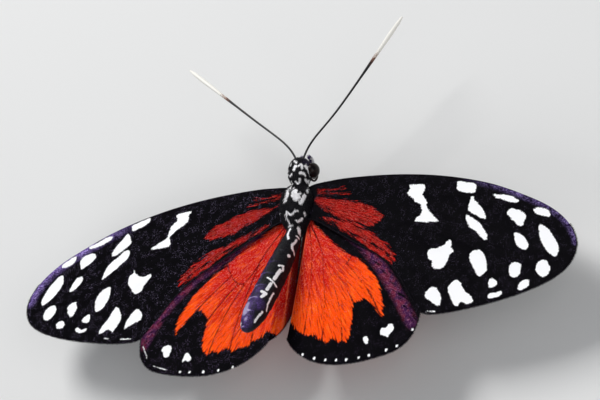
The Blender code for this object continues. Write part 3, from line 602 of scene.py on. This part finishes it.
def hind_colours(t, ground):
    """Painted violet sheen on the stripe, then orange with rays and dark veins, redder and speckled to the
    root, with painted crease highlights, painted shade on the fold and a painted highlight on its crest, then
    dots.
    """
    # The front stripe's violet-magenta is a painted sheen over the hindwing's shiny front patch.
    stripe_sheen = t.over(t.step(t.broad, 0.42, 0.60), (0.040, 0.006, 0.048), (0.14, 0.012, 0.036))
    stripe_sheen = t.over(t.times(t.step(t.fine, 0.57, 0.67), 0.6), stripe_sheen, (0.50, 0.20, 0.34))
    colour = t.over(t.times(t.field("stripe"), t.step(t.hairline, 0.30, 0.50)), ground, stripe_sheen)
    rear = t.add(t.field("rear"), t.times(t.add(t.rays, -0.5), 1.6))
    warm = t.over(t.step(rear, 0.15, 0.85), (0.56, 0.004, 0.002), (0.93, 0.070, 0.0005))
    # Lighter streaks along the rays are painted highlights on the creases between the veins; darker streaks
    # run between them.
    warm = t.over(t.times(t.step(t.hairline, 0.46, 0.36), 0.6), warm, (0.32, 0.003, 0.001))
    warm = t.over(t.times(t.step(t.hairline, 0.55, 0.66), 0.65), warm, (0.96, 0.16, 0.006))
    fewer = t.add(t.times(t.field("rear"), -0.65), 0.85)
    warm = t.over(t.times(t.step(t.fine, 0.61, 0.67), fewer), warm, (0.95, 0.36, 0.28))
    # The folded inner edge is painted dark red: painted shade beside the abdomen.
    warm = t.over(t.field("fold"), warm, (0.10, 0.0012, 0.003))
    # A bright orange line along the fold's crest: a painted highlight where the crest catches the light.
    crest = t.add(t.field("crest"), t.times(t.ragged, 0.15))
    warm = t.over(t.step(crest, 0.0, 0.08), warm, (0.92, 0.14, 0.06))
    dark = t.add(t.field("bar"), t.times(t.ragged, 0.35))
    warm = t.over(t.times(t.step(dark, -0.03, 0.12), 0.9), warm, (0.05, 0.002, 0.003))
    edge = t.add(t.field("orange"), t.add(t.times(t.ragged, 0.5), t.times(t.streak, 1.2)))
    # The same specks of pale scales and painted glints lie over the hindwing's colours.
    colour = t.over(t.dust, t.over(t.step(edge, -0.08, 0.16), colour, warm), (0.28, 0.20, 0.36))
    white = t.add(t.field("white"), t.times(t.ragged, 0.4))
    return t.over(t.step(white, -0.02, 0.08), colour, (0.93, 0.93, 0.94))


hind_finish = wing_finish("hindwing scales", hind_colours)
hind_grid = wing_grid(HIND_OUTLINE, HIND_CORNERS, HIND_ROWS, HIND_COLUMNS)
hind_uv = hind_grid.reshape(-1, 2)
from_root = np.hypot(hind_uv[:, 0], hind_uv[:, 1])
vein = from_veins(hind_uv, HIND_VEINS[2:])
for name, side in SIDES:
    stripe = from_line(hind_uv, smooth(pairs(HIND_STRIPE[name]), 40))
    orange = deepest(hind_uv, [HIND_ORANGE[name]])
    white = np.maximum(deepest(hind_uv, HIND_WHITE[name]), strokes(hind_uv, HIND_DOTS[name]))
    piece = wing_piece("hindwing_" + name + "_scales", side, hind_grid, HIND_PLANE, HIND_VEINS, hind_finish,
                       drop=fold_down, orange=orange, white=white,
                       dust=np.full(len(hind_uv), 0.7 * DUST_AND_GLINTS[name]),
                       stripe=np.clip(1.5 - stripe / 0.75, 0, 1),
                       rear=np.clip((from_root - RED_REACH[name]) / RED_FADE, 0, 1),
                       fold=np.clip((FOLD[name] - hind_uv[:, 0]) / 0.3, 0, 0.85),
                       crest=0.09 - np.abs(hind_uv[:, 0] - FOLD[name]),
                       bar=np.maximum(0.16 * np.clip(1.6 - orange / 1.6, 0, 1), VEIN_DARK[name]) - vein)
    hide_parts("hindwing_" + name)
    edging = fringe("hindwing_" + name + "_fringe", side, hind_grid, HIND_PLANE, edge_finish, HIND_DOTS[name],
                    drop=fold_down)
    for made in (piece, edging):
        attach(made, "root")


# Body: head, thorax and abdomen under one skin of black scales and short hair, with small white marks. The
# abdomen is a row of rings, each a little wider at its rear lip, with a painted violet sheen towards its end.
SPINE = [
    (7.15, 0.15), (5, 0.3), (3.2, 0.12), (0, 0), (-2.6, -0.08), (-4.55, 0.55), (-8.6, 2.49), (-14, 5.09),
    (-20.15, 8.02)]
GIRTH = [
    (0, 0, 0), (0.04, 0.4, 0.45), (0.15, 0.75, 0.85), (0.4, 1.05, 1.2), (0.9, 1.35, 1.5), (1.5, 1.5, 1.68),
    (2.2, 1.56, 1.74), (2.9, 1.42, 1.6), (3.5, 1.15, 1.3), (3.95, 1.05, 1.15), (4.4, 1.4, 1.5),
    (5, 1.85, 1.95), (5.8, 2.2, 2.3), (6.8, 2.32, 2.42), (7.8, 2.3, 2.4), (8.8, 2.12, 2.2), (9.7, 1.75, 1.85),
    (10.4, 1.35, 1.4), (10.9, 1.1, 1.14), (11.6, 1.1, 1.12), (13, 1.22, 1.24), (15, 1.42, 1.42),
    (18, 1.62, 1.6), (21, 1.66, 1.66), (24, 1.66, 1.64), (26, 1.58, 1.5), (27.5, 1.32, 1.22),
    (28.5, 0.92, 0.84), (29, 0.56, 0.5), (29.2, 0, 0)]
FIRST_RING, RING_LENGTH = 11.2, 2.2
BEND, BEND_FROM = 0.8, 14.0
WHITE_GROWTH = 0.04
BODY_WHITE = [
    (0.12, 1, -0.2, 1.3, 0.3), (0.18, 1.5, -0.7), (0.18, 1.8, 0.3, 2.2, 0.1),
    (0.13, 1.8, 0.7, 1.5, 1, 2, 1.2), (0.2, 2.1, -1.3, 2.6, -1.3), (0.12, 2.7, -0.3, 2.9, -0.6),
    (0.14, 2.6, 1, 2.6, 1.5, 2.8, 1.6), (0.2, 1.6, 1.6, 2.1, 2.25, 2.6, 2.55),
    (0.2, 3.4, 1.6, 3.6, 2.1, 3.4, 2.4), (0.12, 3.6, -0.7, 4.3, -0.8),
    (0.11, 3.9, -0.5, 4.6, -0.4, 5.1, -0.1), (0.11, 3.7, 0.1, 4.1, 0.5, 3.3, 0.8), (0.13, 4.9, 0.3),
    (0.27, 5.3, -0.5, 6.2, -0.3, 6.9, -0.6), (0.36, 5.5, 0.7, 6.1, 0.7, 6.7, 1.1), (0.28, 6.1, 1.2, 6.4, 1.4),
    (0.12, 5.8, 1.6, 6, 1.3), (0.26, 6.1, 2.2, 6.6, 2.1, 7.2, 1.8), (0.14, 5, 2.3, 5.4, 2.5),
    (0.2, 8.1, -2.1), (0.13, 8.3, -0.3, 8.9, 0.4, 8.6, 0.8, 8.3, 1, 8.3, 1.4),
    (0.11, 8.4, -0.2, 9.3, -0.4, 9.9, -0.2, 10.3, -0.1), (0.11, 10.7, -0.4, 10.6, 0.3),
    (0.12, 8.4, 2.3, 8.8, 2.4), (0.14, 9.8, 1, 9.9, 1.3, 9.3, 1.9), (0.24, 10.8, 1.2, 11.3, 1.5),
    (0.12, 11.2, 0, 12.2, 0, 13.2, 0.5), (0.11, 12.1, 1.3, 12.1, 1.9), (0.15, 11.5, 1.9),
    (0.14, 12.7, 1.6, 13.3, 1.6, 14, 1.4, 14.7, 1.8), (0.14, 13.8, 1.4, 14.5, 1.6, 15, 2.5), (0.27, 16, 1.8),
    (0.12, 18.4, 1.2, 18.1, 1.8, 18.8, 2.1), (0.23, 19, 1.7, 20.7, 1.5), (0.11, 20.9, 0.6, 21.6, 2.3),
    (0.2, 21.7, 1.4, 22.8, 1.3), (0.2, 23.4, 0.8, 23.5, 1.4, 24.2, 1.1),
    (0.12, 22.7, 2.4, 23.7, 2.3, 24.7, 2.4, 25.5, 2.7), (0.14, 26.2, 2.1, 27.8, 1.5), (0.18, 23.6, -1.9),
    (0.13, 25.5, -1.9), (0.22, 28.4, -0.8)]
# Patches of painted violet sheen, with a painted lavender highlight where strongest, most of all at the
# abdomen's end.
BODY_SHEEN = [
    (0.9, 25.6, -0.7, 26.8, -0.5), (0.6, 27.9, 0.1), (0.3, 23.1, 0.1), (0.3, 24.7, 0.5), (0.3, 25.4, 1.2),
    (0.25, 0.9, 1.8, 0.7, 2.4), (0.4, 17, -1, 20, -1.3, 25, -1.2)]
spine = smooth(SPINE, 2000)
reach = distances(spine)
heading = unit(np.gradient(spine, reach, axis=0))
girth = smooth(GIRTH, 4000) * (reach[-1] / GIRTH[-1][0], 1.0, 1.0)


def body_point(s, angle):
    """(out, fwd, up) of the skin: an oval ring across the spine at reach s, a little wider at each lip."""
    (fwd, up), (ahead, rise) = [[np.interp(s, reach, line) for line in lines.T] for lines in (spine, heading)]
    wide, high = [np.interp(s, girth[:, 0], line) for line in girth[:, 1:].T]
    ring = np.mod((s - FIRST_RING) / RING_LENGTH, 1.0)
    lip = 1.0 + np.where(s > FIRST_RING, 0.06 * (ring ** 2 - ring ** 14) - 0.015, 0.0)
    lift = lip * high * np.cos(angle)
    bend = BEND * np.clip((s - BEND_FROM) / (GIRTH[-1][0] - BEND_FROM), 0.0, 1.0) ** 2
    return np.stack([lip * wide * np.sin(angle) - bend, fwd + lift * rise, up - lift * ahead], -1)


def body_frame(s, angle, step=0.02):
    """Outward and rearward directions of the skin: from the differences between nearby points."""
    rearward = body_point(s + step, angle) - body_point(s - step, angle)
    around = body_point(s, angle + step) - body_point(s, angle - step)
    return np.cross(rearward, around), rearward


def body_marks(s, angle):
    """White marks and painted violet sheen at a place on the skin, drawn on it as if it were unrolled flat.
    """
    flat = np.column_stack([s, angle * np.interp(s, girth[:, 0], girth[:, 1])])
    violet = np.clip(0.6 + 0.7 * strokes(flat, BODY_SHEEN), 0.0, 1.0) * np.clip((s - 13.0) / 12.0, 0.25, 1.0)
    # Lines of painted sheen along the rings' lips on one side, from the middle of the abdomen back.
    ring = np.abs(np.mod((s - FIRST_RING) / RING_LENGTH + 0.5, 1.0) - 0.5) * RING_LENGTH
    line = (np.clip(1.0 - ring / 0.16, 0.0, 1.0) * np.clip((s - 15.0) / 6.0, 0.0, 1.0)
            * np.clip(0.8 - angle, 0.0, 1.0))
    return strokes(flat, BODY_WHITE) + WHITE_GROWTH, np.clip(violet + 0.8 * line, 0.0, 1.0)


body_finish = t = finish_of("body scales and hair", 0.5, 0.2)
grain = t.noise(6000.0, 2.0, 0.6)
colour = t.over(t.field("shade"), (0.003, 0.0026, 0.004), (0.012, 0.0104, 0.016))
# Painted violet sheen, mottled by the grain, over the black.
mottled_sheen = t.times(t.field("violet"), t.spread(grain, 0.42, 0.62, 0.15, 1.0))
colour = t.over(mottled_sheen, colour, (0.17, 0.08, 0.40))
# A painted lavender highlight where the sheen is strongest.
colour = t.over(t.spread(t.field("violet"), 0.78, 1.0, 0.0, 0.8), colour, (0.502, 0.448, 0.64))
edge = t.add(t.field("white"), t.times(t.add(grain, -0.5), 0.35))
t.paint(t.over(t.step(edge, -0.04, 0.05), colour, (0.95, 0.94, 0.95)))
t.bump(grain, 0.5, 0.00003)
t.shader.inputs["Sheen Weight"].default_value = 0.03
t.shader.inputs["Sheen Roughness"].default_value = 0.4
ROWS, COLUMNS = 420, 128
rows, turns = np.linspace(0.02, reach[-1] - 0.02, ROWS), np.linspace(-np.pi, np.pi, COLUMNS, endpoint=False)
s, angle = [v.ravel() for v in np.meshgrid(rows, turns, indexing="ij")]
white, violet = body_marks(s, angle)
index = np.arange(ROWS * COLUMNS).reshape(ROWS, COLUMNS)
after = np.roll(index, -1, axis=1)
quads = np.stack([index[:-1], index[1:], after[1:], after[:-1]], 2).reshape(-1, 4)
ends = np.vstack([np.column_stack([index[0], after[0], np.full(COLUMNS, index.size)]),
                  np.column_stack([after[-1], index[-1], np.full(COLUMNS, index.size + 1)])])
poles = body_point(np.array([0.0, reach[-1]]), np.zeros(2))
skin = surface("body_skin", placed(np.vstack([body_point(s, angle), poles]), -1), [quads, ends], body_finish,
               white=np.append(white, (-1.0, -1.0)), violet=np.append(violet, (0.0, 1.0)),
               shade=np.full(s.size + 2, 0.3))
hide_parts("head", "thorax", "abdomen")

HAIRS = 15500
HAIR_CROWD = ([4.0, 4.4, 10.4, 11.0], [1.7, 1.4, 1.4, 0.55])
HAIR_LENGTH = ([0.0, 1.0, 3.6, 4.6, 6.0, 9.5, 10.8, 12.0], [0.2, 0.3, 0.36, 0.5, 0.56, 0.56, 0.4, 0.26])
HAIR_LIFT = ([0.0, 3.6, 5.0, 10.0, 11.5], [0.8, 0.75, 0.6, 0.5, 0.25])
EYE_CENTRE, EYE_HALF = np.array([1.5, 5.5, -0.45]), np.array([0.95, 1.1, 1.12])
crowd = np.interp(rows, *HAIR_CROWD) * np.interp(rows, girth[:, 0], girth[:, 1])
s = np.interp(chance.uniform(size=HAIRS), np.cumsum(crowd) / crowd.sum(), rows)
angle = chance.uniform(-np.pi, np.pi, HAIRS)
root = body_point(s, angle)
mirrored = np.column_stack([np.abs(root[:, 0]), root[:, 1:]])
clear = (((mirrored - EYE_CENTRE) / EYE_HALF) ** 2).sum(1) > 1.05
s, angle, root = s[clear], angle[clear], root[clear]
normal, rearward = body_frame(s, angle)
length = np.interp(s, *HAIR_LENGTH) * chance.uniform(0.7, 1.2, len(s))
lift = np.interp(s, *HAIR_LIFT) + chance.normal(0.0, 0.12, len(s))
lie = unit(rearward) + chance.normal(0.0, 0.22, root.shape)
white, violet = body_marks(s + 0.45 * length, angle)
kept = (white < 0.0) | (chance.uniform(size=len(s)) < 0.3)
s, angle, root, normal, length, lift, lie, white, violet = [
    v[kept] for v in (s, angle, root, normal, length, lift, lie, white, violet)]
thick = np.where(white > 0.0, 0.032, chance.uniform(0.016, 0.026, len(s)))
unrolled = np.column_stack([0.5 + 0.48 * angle / np.pi, 0.02 + 0.96 * s / reach[-1]])
coat = tufts("body_coat", -1, root, normal, lie, length, thick, lift, unrolled, body_finish,
             white=np.where(white > 0.0, 0.3, -0.3), violet=violet, shade=chance.uniform(size=len(s)))
for made in (skin, coat):
    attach(made, "root")


# Eyes: large glossy domes of fine facets, nearly black, one at each side of the head. Each is half sunk in
# the head, and no hair grows on it.
def tube(path, radii, lean, sides=12):
    """Points and faces of a ring carried along a path, turned from lean and closed by a point at each end."""
    ahead = unit(np.gradient(path, axis=0))
    across = unit(lean - (ahead @ lean)[:, None] * ahead)
    third = np.cross(ahead, across)
    turn = 2 * np.pi * np.arange(sides) / sides
    ring = np.cos(turn)[None, :, None] * across[:, None] + np.sin(turn)[None, :, None] * third[:, None]
    body = path[:, None] + np.asarray(radii)[:, None, None] * ring
    tips = np.array([path[0] - 0.4 * radii[0] * ahead[0], path[-1] + 0.4 * radii[-1] * ahead[-1]])
    index = np.arange(len(path) * sides).reshape(-1, sides)
    after = np.roll(index, -1, axis=1)
    quads = np.stack([index[:-1], after[:-1], after[1:], index[1:]], 2).reshape(-1, 4)
    caps = np.vstack([np.column_stack([after[0], index[0], np.full(sides, index.size)]),
                      np.column_stack([index[-1], after[-1], np.full(sides, index.size + 1)])])
    return np.vstack([body.reshape(-1, 3), tips]), [quads, caps]


def tube_piece(name, side, shape, finish, sides=12, **values):
    """A tube as a mesh piece: values given for each ring are spread over its points and the two ends."""
    verts, faces = shape
    if side > 0:
        faces = [f[:, ::-1] for f in faces]
    values = {key: np.concatenate([np.repeat(v, sides), [v[0], v[-1]]]) for key, v in values.items()}
    return surface(name, placed(verts, side), faces, finish, **values)


EYE_RINGS, EYE_SIDES = 56, 72
UP, OUT = np.array([0.0, 0.0, 1.0]), np.array([1.0, 0.0, 0.0])
eye_finish = t = finish_of("faceted eye", 0.18, 0.14)
facets = t.node("TexVoronoi", t.place(), None, 24000.0, feature="F1")
t.bump(facets.outputs["Distance"], 0.35, 0.00001, invert=True)
t.paint(t.over(t.spread(t.noise(1500.0, 2.0, 0.5), 0.4, 0.6), (0.003, 0.002, 0.003), (0.012, 0.006, 0.005)))
polar = np.linspace(0.02, np.pi - 0.02, EYE_RINGS)
dome = tube(np.column_stack([-np.cos(polar), 0 * polar, 0 * polar]), np.sin(polar), UP, EYE_SIDES)
for name, side in SIDES:
    shape = (dome[0] * EYE_HALF + EYE_CENTRE, dome[1])
    eye = tube_piece("eye_" + name + "_dome", side, shape, eye_finish, EYE_SIDES)
    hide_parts("eye_" + name)
    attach(eye, "root")


# Antennae: thin black shafts of short rings, from sockets between the eyes. They thicken to long slender
# clubs, which are cream-white.
ANTENNAE = {
    "left": [(0.35, 6, 0.85), (0.4, 6.75, 0.95), (2.52, 9.38, 1.3), (8.49, 13.9, 2.04), (19.01, 21.91, 3.6)],
    "right": [(0.35, 6, 0.85), (0.7, 6.85, 0.95), (2.29, 9.26, 1.3), (7.71, 13.59, 2.72), (17.55, 24, 4.8)]}
ANTENNA_SHAPE = ([0.0, 0.03, 0.05, 0.3, 0.6, 0.74, 0.88, 0.96, 1.0],
                 [0.24, 0.22, 0.15, 0.14, 0.16, 0.24, 0.33, 0.28, 0.14])
SEGMENT = 0.36
PALE_FROM = {"left": 0.63, "right": 0.68}
antenna_finish = t = finish_of("ringed antenna", 0.42, 0.4)
warm = t.spread(t.add(t.field("pale"), t.add(t.noise(7000.0, 2.0, 0.6), -0.5)), 0.12, 0.6)
ramp = t.node("ValToRGB", warm)
ramp.color_ramp.elements[0].color = (0.006, 0.006, 0.008, 1.0)
ramp.color_ramp.elements[1].color = (0.93, 0.91, 0.84, 1.0)
ramp.color_ramp.elements.new(0.35).color = (0.22, 0.08, 0.04, 1.0)
groove = t.spread(t.field("joint"), 0.88, 1.0, 0.0, 0.55)
t.paint(t.over(groove, ramp.outputs["Color"], (0.03, 0.02, 0.015)))
for name, side in SIDES:
    path = smooth(ANTENNAE[name], 560)
    length = distances(path)
    phase = np.mod(length / SEGMENT, 1.0)
    share = length / length[-1]
    radii = np.interp(share, *ANTENNA_SHAPE) * (1.0 + 0.10 * (phase - phase ** 9) - 0.05)
    antenna = tube_piece("antenna_" + name + "_rings", side, tube(path, radii, UP), antenna_finish,
                         pale=np.clip((share - PALE_FROM[name]) / 0.16, 0.0, 1.0), joint=phase)
    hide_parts("antenna_" + name)
    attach(antenna, "root")


# Palps: two short furry feelers that grow from under the head and curve up before the face. They are black,
# with pale hair along their outer sides and a painted violet sheen towards their tips.
PALP = [(0.5, 6.0, -1.0), (0.58, 6.8, -1.35), (0.62, 7.4, -1.15), (0.6, 7.65, -0.5)]
PALP_RINGS, PALP_HAIRS = 60, 700
palp_path = smooth(PALP, PALP_RINGS)
palp_radii = np.interp(np.linspace(0, 1, PALP_RINGS), [0.0, 0.4, 0.9, 1.0], [0.28, 0.26, 0.14, 0.07])


def hairs_on(path, radii, count, lean, reach_from=0.0):
    """Roots, normals, lies and (share, turn) of hairs spread over a tube, all lying along it to its end."""
    at = chance.uniform(reach_from, 1.0, count) * (len(path) - 1)
    step = np.arange(len(path))
    along = unit(sampled(at, step, np.gradient(path, axis=0)))
    across = unit(lean - (along @ lean)[:, None] * along)
    turn = chance.uniform(-np.pi, np.pi, count)
    normal = np.cos(turn)[:, None] * across + np.sin(turn)[:, None] * np.cross(along, across)
    place = np.column_stack([0.02 + 0.96 * at / (len(path) - 1), 0.5 + 0.48 * turn / np.pi])
    return sampled(at, step, path) + 0.9 * np.interp(at, step, radii)[:, None] * normal, normal, along, place


for name, side in SIDES:
    # The palps' violet is painted sheen, growing towards their tips.
    palp = tube_piece("palp_" + name + "_skin", side, tube(palp_path, palp_radii, OUT), body_finish,
                      white=np.full(PALP_RINGS, -0.3), violet=np.linspace(0.0, 0.6, PALP_RINGS),
                      shade=np.full(PALP_RINGS, 0.3))
    root, normal, lie, place = hairs_on(palp_path, palp_radii, PALP_HAIRS, OUT)
    lie = lie + chance.normal(0.0, 0.2, root.shape)
    length, lift = chance.uniform(0.25, 0.5, PALP_HAIRS), chance.normal(0.55, 0.12, PALP_HAIRS)
    outer = (normal[:, 0] > 0.55) & (place[:, 0] < 0.8)
    coat = tufts("palp_" + name + "_coat", side, root, normal, lie, length, 0.02, lift, place, body_finish,
                 white=np.where(outer, 0.3, -0.3), violet=0.7 * place[:, 0],
                 shade=chance.uniform(size=PALP_HAIRS))
    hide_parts("palp_" + name)
    for made in (palp, coat):
        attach(made, "root")


# Proboscis: a long dark tongue of fine rings, fixed between the palps and coiled up flat under the face like
# a watch spring.
TONGUE_CENTRE, TONGUE_TURNS, TONGUE_REACH = np.array([0.0, 6.0, -2.75]), 2.75, (1.22, 0.24)
TONGUE_ROOT, TONGUE_RING, TONGUE_SIDES = [(0.0, 6.5, -0.9), (0.0, 6.45, -1.25)], 0.13, 10
tongue_finish = t = finish_of("ringed tongue", 0.5, 0.25)
tone = t.over(t.noise(4000.0, 2.0, 0.5), (0.012, 0.007, 0.005), (0.035, 0.018, 0.011))
t.paint(t.over(t.spread(t.field("joint"), 0.75, 1.0), tone, (0.005, 0.003, 0.003)))


def eased(path, rounds):
    """A path with rounded corners: in each round a point moves halfway to the middle of its neighbours."""
    for _ in range(rounds):
        path[1:-1] = (path[:-2] + 2 * path[1:-1] + path[2:]) / 4
    return path


along = np.linspace(0.0, 1.0, 240)
turn = np.radians(75.0) - 2 * np.pi * TONGUE_TURNS * along
coil = TONGUE_CENTRE + (np.interp(along, [0.0, 1.0], TONGUE_REACH)[:, None]
                        * np.column_stack([0 * turn, np.cos(turn), np.sin(turn)]))
path = eased(along_path(np.vstack([TONGUE_ROOT, coil]), 700), 20)
length = distances(path)
phase = np.mod(length / TONGUE_RING, 1.0)
radii = np.interp(length / length[-1], [0.0, 0.1, 1.0], [0.18, 0.17, 0.12]) * (1.0 - 0.08 * phase ** 4)
tongue = tube_piece("proboscis_rings", -1, tube(path, radii, OUT, TONGUE_SIDES), tongue_finish, TONGUE_SIDES,
                    joint=phase)
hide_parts("proboscis")
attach(tongue, "root")


# Legs: slim and black, jointed at the knees, with five short joints to each foot, spines and a pair of claws.
# The front pair is small, furred and folded on the chest, and the other four stand on the floor.
STAND = 7.0
THIN = [0.45, 0.36, 0.22, 0.17, 0.16, 0.11]
LEGS = {
    "fore": ([(0.8, 2.2, 5.3), (1.3, 2.7, 4.1), (1.7, 4.1, 3.9), (1.7, 4.6, 3.5), (1.65, 4.45, 2.95),
              (1.45, 3.6, 2.6), (1.25, 3.0, 2.5)], [0.32, 0.28, 0.22, 0.2, 0.2, 0.18, 0.09], (1.0, 0.0, 0.0)),
    "mid": ([(0.9, 0.2, 5.4), (2.2, 0.4, 4.0), (5.2, 0.9, 4.7), (6.9, 2.0, 0.9), (7.2, 2.4, 0.15),
             (8.1, 4.3, 0.14)], THIN, (-0.2, 0.96, 0.19)),
    "hind": ([(0.8, -1.7, 5.5), (2.0, -2.9, 4.0), (4.7, -5.6, 4.5), (6.2, -10.0, 0.9), (6.5, -10.9, 0.15),
              (7.2, -15.2, 0.14)], THIN, (0.85, 0.45, 0.0))}
LEG_RINGS, TARSUS_JOINTS, SPINE_CLEAR = 320, 5, 0.22
SPINES = {"fore": 500, "mid": 260, "hind": 260}
leg_finish = t = finish_of("leg shell", 0.4, 0.35)
mottle = t.noise(3500.0, 3.0, 0.55)
t.paint(t.over(t.spread(mottle, 0.35, 0.7), (0.006, 0.005, 0.005), (0.028, 0.022, 0.020)))
t.bump(mottle, 0.4, 0.00002)
for pair, (points, widths, lean) in LEGS.items():
    lean = np.array(lean)
    points = np.array(points) - (0.0, 0.0, STAND)
    knots = distances(points)
    path = eased(along_path(points, LEG_RINGS), 24)
    length = np.linspace(0.0, knots[-1], LEG_RINGS)
    radii = np.interp(length, knots, widths)
    foot = np.clip((length - knots[-2]) / (knots[-1] - knots[-2]), 0.0, 1.0)
    phase = np.mod(foot * TARSUS_JOINTS * 0.999, 1.0)
    radii = radii * (1.0 + np.where(foot > 0.0, 0.22 * phase ** 2 - 0.22 * phase ** 12 - 0.04, 0.0))
    radii = radii * (1.0 - 0.25 * np.exp(-((length[:, None] - knots[1:-2]) / 0.12) ** 2).sum(1))
    verts, faces = tube(path, radii, lean)
    verts[:, 2] = np.maximum(verts[:, 2], -STAND)
    root, normal, lie, place = hairs_on(path, radii, SPINES[pair], lean, 0.12)
    keep = root[:, 2] + 0.45 * normal[:, 2] > SPINE_CLEAR - STAND
    root, normal, lie, place = root[keep], normal[keep], lie[keep], place[keep]
    size = chance.uniform(0.22, 0.42, len(root)) * (1.2 if pair == "fore" else 1.0)
    thick, lift = np.full(len(root), 0.022), chance.normal(0.5, 0.1, len(root))
    end = path[-1] - 0.05 * (path[-1] - path[-8])
    toe = (path[-1] - path[-12]) / np.linalg.norm(path[-1] - path[-12])
    root, normal = np.vstack([root, end, end]), np.vstack([normal, UP, UP])
    lie = np.vstack([lie, toe + 0.35 * lean, toe - 0.35 * lean])
    place = np.vstack([place, (0.98, 0.4), (0.98, 0.6)])
    size, thick, lift = [np.append(v, [claw, claw]) for v, claw in ((size, 0.4), (thick, 0.05), (lift, 0.15))]
    for name, side in SIDES:
        leg = tube_piece("leg_" + pair + "_" + name + "_shell", side, (verts, faces), leg_finish)
        spines = tufts("leg_" + pair + "_" + name + "_spines", side, root, normal, lie, size, thick, lift,
                       place, leg_finish)
        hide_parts("leg_" + pair + "_" + name)
        for made in (leg, spines):
            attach(made, "root")


size = [list(corner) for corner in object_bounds()]
